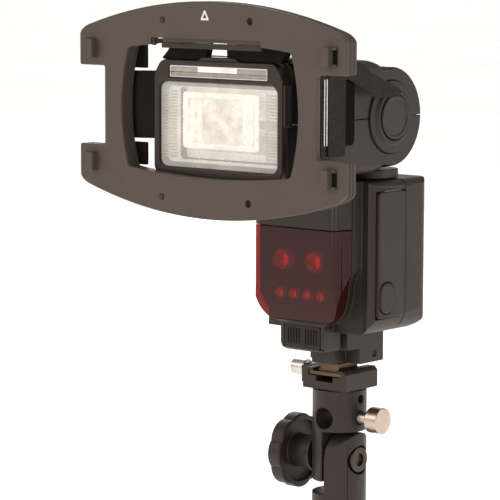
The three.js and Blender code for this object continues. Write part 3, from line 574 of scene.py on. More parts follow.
def combined(name, base, others, operation):
    """Boolean of base with each of others, applied."""
    for other in others:
        modifier = base.modifiers.new("cut", "BOOLEAN")
        modifier.operation = operation
        modifier.solver = "EXACT"
        modifier.object = other
    bpy.context.view_layer.update()
    mesh = bpy.data.meshes.new_from_object(
        base.evaluated_get(bpy.context.evaluated_depsgraph_get())
    )
    for piece in [base, *others]:
        bpy.data.objects.remove(piece)
    mesh.name = name
    mesh.materials.clear()
    return new_object(name, mesh)


def dress(piece, finish, body, slot, *nodes, angle=34):
    """Material, shading and body of a new piece; slot is not used. nodes are the CAD nodes that it stands for."""
    materials = [finish] if isinstance(finish, str) else finish
    piece.data.materials.clear()
    for key in materials:
        piece.data.materials.append(FINISH[key])
    piece.data.polygons.foreach_set("use_smooth", [True] * len(piece.data.polygons))
    piece.data.set_sharp_from_angle(angle=math.radians(angle))
    normals = piece.modifiers.new("normals", "WEIGHTED_NORMAL")
    normals.keep_sharp = True
    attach(piece, body)
    if nodes:
        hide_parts(*nodes)
    return piece


def shading_group():
    """Smooth faces, with sharp edges where the surface turns by more than 36 degrees."""
    group = bpy.data.node_groups.new("shade_by_angle", "GeometryNodeTree")
    group.interface.new_socket("Geometry", in_out="INPUT", socket_type="NodeSocketGeometry")
    group.interface.new_socket("Geometry", in_out="OUTPUT", socket_type="NodeSocketGeometry")
    nodes, links = group.nodes, group.links
    start = nodes.new("NodeGroupInput")
    end = nodes.new("NodeGroupOutput")
    faces = nodes.new("GeometryNodeSetShadeSmooth")
    faces.domain = "FACE"
    edges = nodes.new("GeometryNodeSetShadeSmooth")
    edges.domain = "EDGE"
    edges.inputs["Shade Smooth"].default_value = False
    angle = nodes.new("GeometryNodeInputMeshEdgeAngle")
    sharp = nodes.new("FunctionNodeCompare")
    sharp.data_type = "FLOAT"
    sharp.operation = "GREATER_THAN"
    sharp.inputs["B"].default_value = math.radians(36)
    links.new(start.outputs[0], faces.inputs["Geometry"])
    links.new(faces.outputs["Geometry"], edges.inputs["Geometry"])
    links.new(angle.outputs["Unsigned Angle"], sharp.inputs["A"])
    links.new(sharp.outputs["Result"], edges.inputs["Selection"])
    links.new(edges.outputs["Geometry"], end.inputs[0])
    return group


SHADE = shading_group()


def refine(node, finish, edge=0.35, steps=3):
    """A CAD node that stays: rounded edges, even shading and a material."""
    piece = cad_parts[node]
    weld = piece.modifiers.new("weld", "WELD")
    weld.merge_threshold = 2e-6
    flat = piece.modifiers.new("flat", "DECIMATE")
    flat.decimate_type = "DISSOLVE"
    flat.angle_limit = math.radians(0.6)
    if edge:
        bevel = piece.modifiers.new("edges", "BEVEL")
        bevel.width = edge * MM
        bevel.segments = steps
        bevel.limit_method = "ANGLE"
        bevel.angle_limit = math.radians(34)
        bevel.use_clamp_overlap = False
        bevel.miter_outer = "MITER_ARC"
    shade = piece.modifiers.new("shade", "NODES")
    shade.node_group = SHADE
    normals = piece.modifiers.new("normals", "WEIGHTED_NORMAL")
    normals.keep_sharp = True
    piece.data.materials.clear()
    piece.data.materials.append(FINISH[finish])


# ---- mounting frame ------------------------------------------------------------------------------
FRAME_LOW, FRAME_HIGH = cad("mount_frame")
FRAME_Z = 225.2
FRAME_Y = (-97.0, FRAME_HIGH.y)
FRAME_X = FRAME_HIGH.x
NOTCH_X, NOTCH_HALF = 62.0, 18.1
SIDE_HALF, CROWN_HALF = 32.6, 48.3


def frame_outline(grow):
    """Arched top and bottom, with a notch in each side."""
    x, side, crown = FRAME_X + grow, SIDE_HALF + grow, CROWN_HALF + grow
    notch_z, notch_x = NOTCH_HALF - grow, NOTCH_X + grow
    quarter = [(x, notch_z), (x, side)]
    quarter += quad((x, side), (x - 1, side + 2.4), (x - 5, side + 4), 5)
    arch = quad((x - 5, side + 4), (0, 2 * crown - side - 4), (-x + 5, side + 4), 56)
    top = [(notch_x, notch_z), *quarter, *arch]
    top += [(-u, v) for u, v in reversed(quarter[:-1])] + [(-notch_x, notch_z)]
    bottom = [(-u, -v) for u, v in top]
    return fillet([(u, FRAME_Z + v) for u, v in top + bottom], 1.1)


def frame_window(grow):
    """The opening for the head, with all four sides bowed outwards."""
    x, z = 47.4 + grow, 27 + grow
    points = quad((-x, -z), (0, -z - 6.2), (x, -z), 28)
    points += quad((x, -z), (x + 8.4, 0), (x, z), 20)
    points += quad((x, z), (0, z + 6.2), (-x, z), 28)
    points += quad((-x, z), (-x - 8.4, 0), (-x, -z), 20)
    return fillet([(u, FRAME_Z + v) for u, v in points], 1.6)


SLOT_TOP = 256.9


def make_frame():
    front, back = FRAME_Y
    plate = slab("mount_plate", [frame_outline(0), frame_window(0)], "y", front, front + 2.8, 0.6)
    walls = [
        slab("wall", [frame_outline(-0.3), frame_outline(-2.3)], "y", front + 1.4, back, 0.3),
        slab("wall", [frame_window(2.3), frame_window(0.3)], "y", front + 1.4, back - 0.1, 0.3),
        slab("wall", [frame_outline(0), frame_outline(-1.2)], "y", front + 3.9, front + 4.7, 0.2),
        slab("wall", [frame_outline(0), frame_outline(-1.2)], "y", front + 6.1, front + 6.9, 0.2),
    ]
    cuts = [
        slab("cut", [circle(x, z, r, 28)], "y", front - 1, front + depth, 0.1)
        for x, z, r, depth in ((24.7, 265.2, 1.7, 2.2), (24.0, 185.6, 1.7, 2.2), (-26.4, 264.9, 1.5, 0.5), (-26.8, 185.4, 1.5, 0.5))
    ]
    cuts.append(block("cut", (-38.4, -90.8, 176), (38.4, back + 1, 197.5), 0.2))
    cuts.append(block("cut", (-33.3, front - 1, 250), (30.9, front + 1.7, SLOT_TOP), 0.15))
    cuts.append(block("cut", (-31.2, front - 1, 250), (-27.7, back + 1, SLOT_TOP), 0.15))
    for x in (-64, 58):
        low_z, high_z = FRAME_Z - NOTCH_HALF + 0.6, FRAME_Z + NOTCH_HALF - 0.6
        cuts.append(block("cut", (x, front + 2.85, low_z), (x + 6, back + 1, high_z), 0.1))
    piece = combined("mount_plate", plate, walls, "UNION")
    piece = combined("frame_plate", piece, cuts, "DIFFERENCE")
    dress(piece, "grey", "head", "frame_plastic", "mount_frame")
    lugs, hook_shade_blocks = [], []
    for side in (-1, 1):
        for level in (-1, 1):
            z = FRAME_Z + level * 26
            plan = [(66.7, front + 0.6), (66.7, front - 3.6), (70.7, front - 3.6), (71.2, front + 0.6)]
            plan = [(side * x, y) for x, y in plan]
            lugs.append(slab("lug", [fillet(plan, [0.1, 0.5, 0.5, 0.1])], "z", z - 4.2, z + 4.2, 0.4))
            near, far = sorted((side * 70.4, side * 73.2))
            for z0, z1 in ((z - 4.2, z - 3.0), (z + 3.0, z + 4.2)):
                lugs.append(block("lug", (near, front - 1.4, z0), (far, front + 0.5, z1), 0.3))
            # near-black blocks inside the hooks: painted shade for the shadow in the hooks' recesses
            hook_shade_blocks.append(block("hook_shade_block", (near, front - 0.5, z - 3.1), (far, front + 0.5, z + 3.1), 0.2))
    dress(merged("frame_hook_painted_shade", hook_shade_blocks), "grip", "head", "frame_plastic")
    dress(merged("frame_hooks", lugs), "grey", "head", "frame_plastic")
    pips = [
        lathe("pip", fillet([(front - 0.5, 0), (front - 0.5, 1.25), (front + 1, 1.25), (front + 1, 0)], 0.3, 3, False), "y", x, z, 32)
        for x, z in ((-26.4, 264.9), (-26.8, 185.4))
    ]
    dress(merged("frame_pips", pips), "black", "head", "frame_plastic")
    # alignment arrow, as a raised printed triangle
    arrow = fillet([(-3.8, 265.2), (1.4, 265.2), (-1.2, 270.1)], 0.4, 3)
    core = fillet([(-2.4, 266.1), (0.0, 266.1), (-1.2, 268.3)], 0.2, 2)
    dress(slab("frame_arrow", [arrow, core], "y", front - 0.12, front + 0.4, 0.05, 2), "mark", "head", "frame_plastic")
    # ledge behind the window's top edge, and in its finger slot a black block at the left side wall, which is painted
    # shade for that wall's shadow
    ledge = [
        block("ledge", (-27.6, front + 0.7, 252.4), (30.6, front + 6.6, 254.7), 0.35),
        block("ledge", (-33.1, front + 0.5, 253.4), (-31.4, front + 1.9, SLOT_TOP - 0.1), 0.3),
    ]
    dress(merged("frame_ledge_and_shade_block", ledge), "black", "head", "frame_plastic")
    # rubber grips over the head, on the underside of the frame's top rim
    grips = [
        slab("grip", [fillet(points, 0.6)], "y", *depth, 0.35)
        for depth, points in (
            ((-88.8, -84.4), [(-34.6, 247), (-8.4, 247), (-6.4, 254.8), (-27.8, 254.8), (-30.8, 250.6)]),
            ((-88.8, -84.4), [(4.8, 247), (35.7, 247), (38.6, 252.6), (36.5, 254.4), (4.2, 254.8)]),
            ((-84.3, -82.4), [(-36.6, 238), (-30, 238), (-20, 247), (-20, 254.4), (-27.6, 254.4), (-30.8, 250.6), (-34.2, 246)]),
        )
    ]
    dress(merged("frame_grips", grips), "grip", "head", "rubber")


def make_legs():
    for side, node, reach in ((-1, "frame_leg_left", -80.0), (1, "frame_leg_right", -84.8)):
        low, high = cad(node)
        tabs = ((low.z, 208.6), (242.4, high.z))
        rim = sorted((side * 53.0, side * 57.4))
        tab = sorted((side * 44.3, side * 54.0))
        flange = sorted((side * 44.3, side * 46.3))
        plan = [(57.4, -88.4), (57.4, -86.8), (46.3, reach), (44.3, reach), (44.3, reach - 2)]
        plan = [(side * x, y) for x, y in plan]
        pieces = [block("leg", (tab[0], -88.4, z0), (tab[1], -86.3, z1), 0.5) for z0, z1 in tabs]
        pieces.append(slab("leg", [fillet(plan, [0.3, 1.6, 1.2, 0.8, 1.2])], "z", 210, 241, 0.4))
        if side > 0:
            pieces += [block("leg", (flange[0], -88, z0), (flange[1], -70, z1), 0.6) for z0, z1 in tabs]
        base = block("leg", (rim[0], -88.4, low.z), (rim[1], -86.8, high.z), 0.35)
        name = "leg_left" if side < 0 else "leg_right"
        dress(combined(name, base, pieces, "UNION"), "leg", "head", "black_plastic", node)
    # near-black sheet inside the right leg: painted shade for the dark opening between strap and head
    pad = slab("leg_painted_shade", [round_rect(-58, -47.4, 209.5, 239.6, 2.6)], "x", 43.1, 44.5, 0.5)
    dress(pad, "pad", "head", "black_plastic")


def band(name, path, low, high, thickness, wobble, closed=True):
    """A flat band that follows path in X and Z, from low to high along Y."""
    work = bmesh.new()
    count = len(path)
    section = fillet([(-thickness / 2, low), (thickness / 2, low), (thickness / 2, high), (-thickness / 2, high)], thickness * 0.45, 4)
    dense = []
    for i, p in enumerate(section):
        q = section[(i + 1) % len(section)]
        parts = max(1, int(math.dist(p, q) / 1.0))
        dense += [(p[0] + (q[0] - p[0]) * k / parts, p[1] + (q[1] - p[1]) * k / parts) for k in range(parts)]
    rings = []
    for i, (x, z) in enumerate(path):
        before = path[i - 1] if closed or i else path[0]
        after = path[(i + 1) % count] if closed or i < count - 1 else path[-1]
        tangent = Vector((after[0] - before[0], after[1] - before[1])).normalized()
        normal = Vector((tangent.y, -tangent.x))
        ring = []
        for offset, y in dense:
            sway = wobble * noise.noise(Vector((x * 0.045, y * 0.06, z * 0.045)))
            px = x + normal.x * (offset + sway)
            pz = z + normal.y * (offset + sway)
            ring.append(work.verts.new((px * MM, y * MM, pz * MM)))
        rings.append(ring)
    pairs = list(zip(rings, rings[1:] + rings[:1])) if closed else list(zip(rings, rings[1:]))
    for a, b in pairs:
        for k in range(len(dense)):
            m = (k + 1) % len(dense)
            work.faces.new((a[k], b[k], b[m], a[m]))
    if not closed:
        work.faces.new(rings[0])
        work.faces.new(list(reversed(rings[-1])))
    bmesh.ops.recalc_face_normals(work, faces=work.faces)
    mesh = bpy.data.meshes.new(name)
    work.to_mesh(mesh)
    work.free()
    return new_object(name, mesh)


def resampled(points, spacing, closed=True):
    out = []
    loop = points + points[:1] if closed else points
    for p, q in zip(loop, loop[1:]):
        parts = max(1, round(math.dist(p, q) / spacing))
        out += [(p[0] + (q[0] - p[0]) * k / parts, p[1] + (q[1] - p[1]) * k / parts) for k in range(parts)]
    return out if closed else out + [loop[-1]]


def make_strap():
    low, high = cad("strap")
    half = 0.75
    ring = resampled(round_rect(low.x + half, high.x - half, low.z + half, high.z - half, 4.4, 10), 1.5)
    strap = band("strap_band", ring, low.y, high.y, 1.4, 0.25)
    dress(strap, ["webbing", "loop"], "head", "strap_fabric", "strap", angle=60)
    for face in strap.data.polygons:
        face.material_index = 1 if face.center.x > 0.030 else 0
    # the strap's flank and its loose end, which rises from it and lies back over the head
    low, high = cad("strap_tail")
    outline = [
        (low.y, low.z), (-56, low.z), (-56, 240.2), (-44.5, 235.8), (-33.3, 230.4), (-14.5, 229.6),
        (high.y, 232.6), (-26, 237.7), (-37.2, 241.8), (-45.3, high.z), (-55.4, 241.1), (low.y, 241.1),
    ]
    piece = slab("strap_end", [fillet(outline, 1.2, 4)], "x", -0.75, 0.75, 0.3, 3)
    work = bmesh.new()
    work.from_mesh(piece.data)
    long_edges = [e for e in work.edges if e.calc_length() > 0.003]
    bmesh.ops.subdivide_edges(work, edges=long_edges, cuts=6, use_grid_fill=True)
    bmesh.ops.triangulate(work, faces=[f for f in work.faces if len(f.verts) > 4])
    for vert in work.verts:
        y = vert.co.y / MM
        t = min(1.0, max(0.0, (y + 52) / 40))
        vert.co.x += (45.3 - 1.5 * t + 0.2 * math.sin(y * 0.35 + vert.co.z * 60)) * MM
    work.to_mesh(piece.data)
    work.free()
    dress(piece, "loop", "head", "strap_fabric", "strap_tail", angle=60)


def make_ring():
    low, high = cad("strap_ring")
    outer = round_rect(low.y, high.y, low.z, high.z, 2.2)
    inner = round_rect(low.y + 2.4, high.y - 3.2, low.z + 2.8, high.z - 2.8, 1.2)
    piece = slab("strap_loop", [outer, inner], "x", low.x, high.x, 0.7, 4)
    dress(piece, "leg", "head", "bright_metal", "strap_ring")
    rods = [
        lathe("rod", fillet([(low.z + 1.6, 0), (low.z + 1.6, 0.42), (high.z - 2, 0.42), (high.z - 2, 0)], 0.3, 3, False), "z", high.x, y, 20)
        for y in (high.y - 2.7, high.y - 0.9)
    ]
    dress(merged("loop_rods", rods), "silver", "head", "bright_metal")


# ---- head ----------------------------------------------------------------------------------------
def make_bezel():
    low, high = cad("front_bezel")
    panel_low, panel_high = cad("fresnel_panel")
    opening = round_rect(panel_low.x - 0.25, panel_high.x + 0.25, panel_low.z - 0.25, panel_high.z + 0.25, 4.2)
    inner = round_rect(-33, 33, panel_low.z + 2, panel_high.z - 2, 3)
    strip = round_rect(-28.8, 28.8, 239, 244.6, 0.9)
    corners = [(-37.6, 194.3), (37.6, 194.3), (37.6, 240.4), (33.4, 246.9), (-33.4, 246.9), (-37.6, 240.4)]
    edge = fillet(corners, [5, 5, 7, 5, 5, 7], 8)
    heel = fillet([(x * 0.993, 220.6 + (z - 220.6) * 0.993) for x, z in corners], [4.8, 4.8, 7, 5, 5, 7], 8)
    front = slab("bezel", [edge, opening, strip], "y", low.y, -86.1, 0.75, 4)
    parts = [
        slab("part", [heel, inner, strip], "y", -86.6, high.y, 0.25),
        slab("part", [fillet([(-14, 246), (14, 246), (9.5, 248.6), (-9.5, 248.6)], [0.3, 0.3, 4, 4])], "y", -89.6, -84.3, 0.5),
        block("part", (36.6, -89.6, 219.3), (38.7, -84.4, 237.9), 0.5),
    ]
    piece = combined("head_bezel", front, parts, "UNION")
    dress(piece, "black_fine", "head", "black_plastic", "front_bezel")


def make_lens():
    """Front panel of the head: a thin plate with sawtooth prisms down both sides and fine ribs behind."""
    low, high = cad("fresnel_panel")
    plate = slab("lens", [round_rect(low.x, high.x, low.z, high.z, 3.6)], "y", low.y, low.y + 1.5, 0.45, 4)
    ribs = []
    pitch = 1.4
    for side in (-1, 1):
        x0, x1 = sorted((side * 26.0, side * 32.6))
        z = low.z + 4.2
        while z < high.z - 4.5:
            ribs.append(slab("rib", [[(-low.y - 2.4, z), (-low.y - 1.3, z), (-low.y - 1.3, z + pitch * 0.6)]], "x", x0, x1, 0.05, 1))
            z += pitch
    for rib in ribs:
        for vert in rib.data.vertices:
            vert.co.y *= -1
        rib.data.flip_normals()
    plate.name = "head_lens"
    dress(plate, "lens", "head", "clear_window", "fresnel_panel")
    dress(merged("lens_ribs", ribs), "rib", "head", "clear_window")
    # the lens's rectangular centre: a rim made bright by painted glow round a recessed, slightly cupped panel, which
    # has painted glow too
    rim = slab(
        "lens_core_rim", [round_rect(-23.6, 20.6, 207.2, 232.6, 1.6), round_rect(-21.4, 18.4, 209.6, 230.2, 1.4)],
        "y", -86.3, -85.2, 0.3,
    )
    dress(rim, "core_edge", "head", "clear_window")
    panel = slab("lens_core_panel", [round_rect(-22, 19, 209, 230.8, 1.2)], "y", -85.0, -84.3, 0.2)
    dress(panel, "core", "head", "clear_window")
    # pale bars with the same painted glow as the rim
    bars = [
        slab("bar", [round_rect(x - 1.1, x + 1.1, 210.5, 229.0, 1)], "y", -85.5, -84.9, 0.2)
        for x in (-18.6, -14.4, 12.2, 15.6)
    ]
    dress(merged("lens_core_bars", bars), "core_edge", "head", "clear_window")


def make_reflector():
    """Trough reflector on its carriage: bright curved walls, open in front; their mirror material carries a little
    painted glow.
    """
    low, high = cad("reflector_carriage")
    back = high.y - 2.0
    wall = quad((low.y, 204.4), (back - 6, 207), (back, 217.5), 12) + quad((back, 217.5), (back - 6, 228), (low.y, 230.6), 12)
    outline = [(low.y, 201.6), (low.y, 204.4), *wall, (low.y, 233.4), (high.y, 233.4), (high.y, 201.6)]
    middle = slab("reflector", [fillet(outline, 0.2, 2)], "x", -23.2, 23.2, 0.1, 2)
    ends = [
        slab("end", [fillet([(low.y, 201.6), (low.y, 233.4), (high.y, 233.4), (high.y, 201.6)], 0.8)], "x", a, b, 0.2, 2)
        for a, b in ((-25, -23.1), (23.1, 25))
    ]
    tab = block("tab", (24.6, low.y + 4, 201.6), (33, low.y + 10, 207.9), 0.3)
    bore = lathe("bore", [(-90, 0), (-90, 1.6), (-40, 1.6), (-40, 0)], "y", 30.4, 204.6, 24)
    piece = combined("reflector_body", middle, [*ends, tab], "UNION")
    piece = combined("reflector_bowl", piece, [bore], "DIFFERENCE")
    dress(piece, "mirror", "zoom_carriage", "mirror_metal", "reflector_carriage", angle=40)
    low, high = cad("xenon_tube")
    z, y = (low.z + high.z) / 2, (low.y + high.y) / 2
    glass = lathe("flash_tube", fillet([(low.x, 0), (low.x, 2), (high.x, 2), (high.x, 0)], 0.9, 4, False), "x", y, z, 32)
    dress(glass, "pane", "zoom_carriage", "clear_window", "xenon_tube")


def make_inner_tunnel():
    """Pale white tunnel between the reflector and the front panel; its brightness is partly painted glow."""
    low, high = cad("fresnel_panel")
    outer = round_rect(-34.2, 34.2, low.z + 0.6, high.z - 0.6, 3)
    inner = round_rect(-31.8, 31.8, low.z + 2.6, high.z - 2.6, 2)
    ring = slab("tunnel", [outer, inner], "y", -85.6, -78.4, 0.2)
    dress(ring, "tunnel", "head", "white_plastic")
    rim = round_rect(-31.4, 31.4, low.z + 3, high.z - 3, 2)
    back = slab("tunnel_back", [rim, round_rect(-23, 23, 205, 231, 2)], "y", -74.9, -74.2, 0.2)
    dress(back, "tunnel", "zoom_carriage", "white_plastic")


def make_slot_panels():
    low, high = cad("wide_panel")
    sheet = block("panel", low, high, 0.35)
    tab = block("tab", (-28.3, low.y - 0.5, low.z - 0.2), (28.3, low.y + 0.6, high.z + 0.35), 0.2)
    dress(combined("diffuser_panel", sheet, [tab], "UNION"), "strip", "diffuser", "clear_window", "wide_panel")
    low, high = cad("bounce_card")
    card = block("card", low, high, 0.3)
    dress(card, "white", "card", "white_plastic", "bounce_card").name = "white_card"
    lip = block("card_lip", (-28.3, low.y - 0.5, low.z - 0.1), (28.3, low.y - 0.05, 244.4), 0.15)
    dress(lip, "strip", "card", "clear_window")
    tab = block("card_tab", (-12, low.y - 0.75, high.z - 1.2), (11, low.y - 0.55, 244.2), 0.08)
    dress(tab, "tunnel", "card", "white_plastic")
    # thin pale rim round the two panels' front ends, half on each: painted highlight for the bright edges of the clear
    # panels
    for name, rides_on, shut, free, wall in (("panel_edge_highlight", "diffuser", 239.2, 241.2, 0.45), ("card_edge_highlight", "card", 244.4, 241.5, -0.45)):
        x0, x1 = 28.5, 28.5 - abs(wall)
        rim = [(-x0, free), (-x0, shut), (x0, shut), (x0, free), (x1, free), (x1, shut + wall), (-x1, shut + wall), (-x1, free)]
        dress(slab(name, [rim], "y", low.y - 0.95, low.y - 0.6, 0.12, 2), "mark", rides_on, "white_plastic")


def make_pivot():
    low, high = cad("pivot_cap")
    y, z = -11.0, 220.0
    groove = 37.2
    profile = [
        (low.x, 3.5), (low.x, 16.7), (38.3, 16.7), (38.3, 13.5), (38.9, 12.9),
        (high.x, 12.2), (high.x, 10.7), (groove + 0.2, 10.6), (groove + 0.2, 3.5),
    ]
    cap = lathe("pivot_disc", fillet(profile, [0, 0.2, 0.6, 0.4, 0.5, 0.45, 0.35, 0.1, 0], 4), "x", y, z, 128, closed=True)
    dress(cap, "black", "head", "black_plastic", "pivot_cap")
    low, high = cad("lock_release_button")
    face = high.x - 0.1
    profile = [(low.x, 0), (low.x, 3), (38.4, 3), (38.4, 10.2), (high.x, 10.2), (high.x, 8.9), (face - 0.35, 8.3), (face, 0)]
    profile = fillet(profile, [0, 0.2, 0.2, 0.2, 0.55, 0.5, 0.5, 0], 4, False)
    button = lathe("release_button_disc", profile, "x", y, z, 112)
    dress(button, "black_fine", "release_button", "black_plastic", "lock_release_button")


# ---- body ----------------------------------------------------------------------------------------
def make_leds():
    """Lamp and sensor unit behind the red window."""
    low, high = cad("af_led_module")
    base = block("base", (low.x, -29, low.z), (high.x, high.y, high.z), 0.6)
    dress(base, "led", "flash_base", "white_plastic", "af_led_module").name = "lamp_unit"
    bowls = []

    def petals(angle, along, radius):
        return radius * (1 - 0.16 * math.cos(6 * angle) ** 2) if 1.0 < radius < 4.6 else radius

    lamps = [(x, 152.5, 5.0) for x in (-9.5, 9.5)] + [(x, 136.4, 2.6) for x in (-12, -4, 4, 12)]
    for x, z, r in lamps:
        front = -33.0 if r > 4 else -31.2
        profile = [(-28.6, 0.0), (-28.6, r), (front, r), (front, r - 0.6), (front + 0.8, r - 1.0), (-30.2 if r > 4 else -29.6, r * 0.35), (-29.4, 0.0)]
        bowls.append(lathe("bowl", fillet(profile, 0.15, 2, False), "y", x, z, 96, petals if r > 4 else None))
    # the bowls' material glows: painted light, the lamps are not lit
    dress(merged("lamp_bowls", bowls), "reflex", "flash_base", "white_plastic")
    # small glowing patches in the bowls: painted highlights standing in for the bright streaks reflected in them
    glints = [
        slab("glint", [[(x + r * (0.5 + 0.2 * math.cos(a)), z + r * 0.55 * math.sin(a)) for a in (i * math.tau / 20 for i in range(20))]], "y", -33.3 if r > 4 else -31.5, -30.6, 0.1, 1)
        for x, z, r in lamps
    ]
    dress(merged("lamp_glints", glints), "glint", "flash_base", "white_plastic")


def make_terminal_cover():
    low, high = cad("terminal_cover")
    plate = slab("cover", [round_rect(low.x, high.x, low.z, high.z, 1.4)], "y", -29.0, -27.7, 0.35)
    ribs = []
    for group in (-1, 1):
        for i in range(5):
            x = group * (1.9 + i * 1.62)
            ribs.append(block("rib", (x - 0.42, low.y, 112.7), (x + 0.42, -28.6, 119.7), 0.3, 2))
    dress(combined("socket_lid", plate, ribs, "UNION"), "rubber", "socket_cover", "rubber", "terminal_cover")


def make_door():
    """Battery door: a flat leaf with a rounded front edge, cut out round the release."""
    low, high = cad("battery_door")
    release_low, release_high = cad("battery_door_release")
    edge = round_rect(low.y, high.y, low.z, high.z, 1.5)
    pad = round_rect(release_low.y - 0.3, release_high.y + 0.3, release_low.z - 0.3, release_high.z + 0.3, 5)
    leaf = slab("door", [edge, pad], "x", low.x, high.x, 0.5, 4)
    dress(leaf, "black", "door_leaf", "black_plastic", "battery_door").name = "door_panel"
    edge = round_rect(release_low.y, release_high.y, release_low.z, release_high.z, 4.8)
    pad = slab("pad", [edge], "x", 37.0, release_high.x, 0.9, 5)
    stem = block("stem", (release_low.x, -18, 132), (37.5, -11.4, 141), 0.3)
    piece = combined("door_button", pad, [stem], "UNION")
    dress(piece, "black", "door_release", "black_plastic", "battery_door_release")


def grooved(count, depth, start, end):
    """A radius rule: count flutes between start and end along the axis."""
    def rule(angle, along, radius):
        if start <= along <= end:
            return radius - depth * (0.5 - 0.5 * math.cos(count * angle)) ** 2
        return radius
    return rule


def make_rear():
    low, high = cad("lcd_window")
    pane = slab("pane", [round_rect(low.x, high.x, low.z, high.z, 1.5)], "y", low.y, high.y - 0.2, 0.3)
    dress(pane, "pane", "flash_base", "clear_window", "lcd_window").name = "display_pane"
    low, high = cad("lcd_display")
    screen = block("screen", low, high, 0.3)
    dress(screen, "lcd", "flash_base", "lcd", "lcd_display").name = "display_screen"
    marks = []
    back = high.y
    for row, (z, height) in enumerate(((177.5, 1.6), (170.5, 4.2), (163.2, 1.2))):
        count = (7, 4, 12)[row]
        for i in range(count):
            width = (3.2, 5.6, 1.7)[row]
            x = -18.5 + i * (37.0 - width) / (count - 1)
            if row == 1 and i in (1, 2):
                continue
            marks.append(block("mark", (x, back - 0.1, z - height / 2), (x + width, back + 0.12, z + height / 2), 0.05, 1))
    dress(merged("display_marks", marks), "ink", "flash_base", "lcd")
    low, high = cad("select_dial")
    x, z = (low.x + high.x) / 2, (low.z + high.z) / 2
    profile = [(low.y, 5.2), (low.y, 10.4), (17.6, 10.4), (17.6, 9), (high.y, 9), (high.y, 5.2)]
    profile = fillet(profile, [0.1, 0.2, 0.2, 0.1, 0.6, 0.4], 4)
    dial = lathe("dial_ring", profile, "y", x, z, 180, grooved(45, 0.35, 18.0, 21.2), closed=True)
    dress(dial, "black", "dial", "black_plastic", "select_dial")
    low, high = cad("ok_button")
    profile = [(low.y, 0), (low.y, 5.6), (16.2, 5.6), (16.2, 3), (17.4, 3), (17.4, 4.9), (high.y, 4.9), (high.y - 0.25, 0)]
    button = lathe("ok_disc", fillet(profile, [0, 0.2, 0.2, 0.1, 0.1, 0.3, 0.7, 0], 4, False), "y", x, z, 72)
    dress(button, "black_fine", "ok", "black_plastic", "ok_button")


# ---- bracket -------------------------------------------------------------------------------------
def make_knob():
    low, high = cad("tilt_knob")
    y, z = 0.0, 54.7
    back = low.x + 7.4

    def lobes(angle, along, radius):
        if radius < 15.5:
            return radius
        return radius - 1.3 * (1 - abs(math.cos(4 * angle)) ** 0.7) * min(1.0, (radius - 15.5) / 1.5)

    profile = [
        (low.x + 1.1, 3.4), (low.x + 1.1, 7.0), (low.x + 0.5, 9.0), (low.x, 14.5), (low.x, 18.2),
        (back, 18.2), (back, 15.0), (low.x + 4.4, 15.0), (low.x + 4.4, 8.0), (high.x, 8.0), (high.x, 3.4),
    ]
    radii = [0.1, 1.0, 1.0, 1.0, 1.3, 1.0, 0.5, 1.0, 0.8, 0.5, 0.2]
    knob = lathe("tilt_knob_star", fillet(profile, radii, 5), "x", y, z, 256, lobes, closed=True)
    dress(knob, "black", "knob", "black_plastic", "tilt_knob", angle=45)
    washer_low, washer_high = cad("tilt_washer")
    profile = [(washer_low.x, 3.4), (washer_low.x, 9), (washer_high.x, 9), (washer_high.x, 3.4)]
    washer = lathe("knob_washer", fillet(profile, [0.1, 0.4, 0.4, 0.1], 3), "x", y, z, 96, closed=True)
    dress(washer, "black_fine", "stand_socket", "black_plastic", "tilt_washer")


def screw(name, node, body, axis, c1, c2, points, radii, rule, finish, slot="bright_metal", steps=240):
    piece = lathe(name, fillet(points, radii, 4, False), axis, c1, c2, steps, rule)
    dress(piece, finish, body, slot, node, angle=42)


def make_screws():
    low, high = cad("umbrella_screw")
    screw(
        "umbrella_thumb", "umbrella_screw", "umbrella_thumbscrew", "x", 0, 75,
        [(low.x, 0), (low.x, 2.4), (low.x + 0.8, 3.05), (19.0, 3.05), (19.4, 5.6), (19.4, 6.2), (high.x, 6.2), (high.x, 5.2), (high.x - 0.05, 0)],
        [0, 0.1, 0.1, 0.2, 0.2, 0.3, 0.5, 0.2, 0], grooved(40, 0.12, 19.9, 25.4), "champagne", steps=320,
    )
    low, high = cad("shoe_clamp_screw")
    screw(
        "clamp_thumb", "shoe_clamp_screw", "clamp_screw", "x", -2.5, 96.3,
        [(low.x, 0), (low.x, 3.6), (low.x + 0.3, 4.0), (-17.4, 4.0), (-17.3, 1.6), (high.x - 0.3, 1.6), (high.x, 1.3), (high.x, 0)],
        [0, 0.2, 0.3, 0.3, 0.1, 0.1, 0.1, 0], grooved(18, 0.55, low.x + 0.6, -17.7), "silver", steps=216,
    )
    low, high = cad("stand_lock_screw")
    screw(
        "stand_thumb", "stand_lock_screw", "stand_screw", "y", 0, 14,
        [(low.y, 0), (low.y, 2.0), (low.y + 0.5, 2.4), (15.2, 2.4), (15.5, 5.7), (15.5, 6.2), (high.y, 6.2), (high.y, 5.2), (high.y - 0.05, 0)],
        [0, 0.1, 0.1, 0.2, 0.2, 0.3, 0.5, 0.2, 0], grooved(40, 0.12, 16.0, high.y - 0.7), "champagne", steps=320,
    )
    low, high = cad("tilt_bolt")
    screw(
        "tilt_bolt_cap", "tilt_bolt", "stand_socket", "x", 0, 54.7,
        [(low.x, 0), (low.x, 2.6), (low.x + 0.4, 3.0), (8.9, 3.0), (8.9, 6.2), (high.x, 6.2), (high.x, 3.1), (high.x - 1.6, 2.9), (high.x - 1.6, 0)],
        [0, 0.1, 0.1, 0.2, 0.2, 0.6, 0.2, 0.1, 0], None, "dark_steel", steps=96,
    )


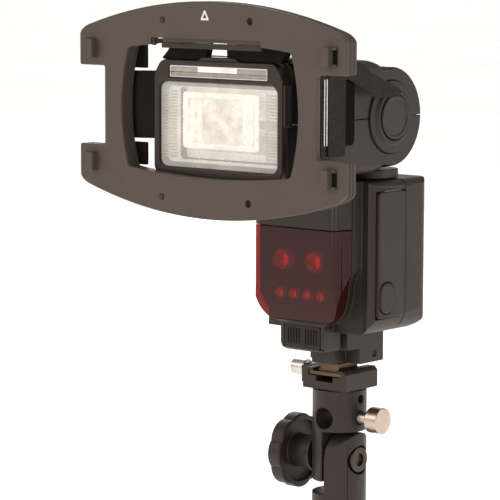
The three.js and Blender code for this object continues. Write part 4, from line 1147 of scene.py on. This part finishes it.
# ---- carried-over CAD nodes ----------------------------------------------------------------------
KEPT = {
    "stand_socket_body": ("coat", 0.5), "friction_disc": ("rubber", 0.1), "tilt_upper_body": ("coat", 0.5),
    "shoe_block": ("coat", 0.35), "shoe_clamp_jaw": ("coat", 0.4), "hotshoe_foot": ("brass", 0.15),
    "foot_base": ("black", 0.45), "foot_lock_pin": ("steel", 0.12), "foot_lock_lever": ("black", 0.4),
    "body_front_shell": ("black", 0.4), "body_rear_shell": ("black", 0.5), "af_window": ("red", 0.25),
    "front_panel": ("gloss", 0.3), "battery_1": ("cell", 0.4), "battery_2": ("cell", 0.4),
    "battery_3": ("cell", 0.4), "battery_4": ("cell", 0.4), "battery_contacts": ("steel", 0.3),
    "main_capacitor": ("gloss", 0.8), "main_board": ("board", 0.1), "power_switch": ("black", 0.3),
    "function_button_1": ("black_fine", 0.3), "function_button_2": ("black_fine", 0.3),
    "function_button_3": ("black_fine", 0.3), "test_button": ("black_fine", 0.3),
    "neck_yoke": ("black", 0.5), "neck_retaining_ring": ("steel", 0.2), "head_upper_shell": ("black", 0.35),
    "head_lower_shell": ("black", 0.35), "head_pivot_shaft": ("steel", 0.3), "zoom_motor": ("steel", 0.4),
    "zoom_lead_screw": ("steel", 0.1),
}


make_camera()
make_studio()
for node_name, (finish_name, edge_mm) in KEPT.items():
    refine(node_name, finish_name, edge_mm)
make_frame()
make_legs()
make_strap()
make_ring()
make_bezel()
make_lens()
make_reflector()
make_inner_tunnel()
make_slot_panels()
make_pivot()
make_leds()
make_terminal_cover()
make_door()
make_rear()
make_knob()
make_screws()

floor = slab("floor", [round_rect(-40000, 40000, -40000, 40000, 200)], "z", -20, -0.2, 2)
n = Nodes("pale_floor")
pale = n.ramp(n.noise(0.002, 3.0), (0.3, (0.52, 0.515, 0.51)), (0.7, (0.55, 0.545, 0.54)))
n.colour(pale)
n.glow(pale, 1.5)
n.rough(n.between(n.noise(0.01), 0.7, 0.9))
floor.data.materials.append(n.material)
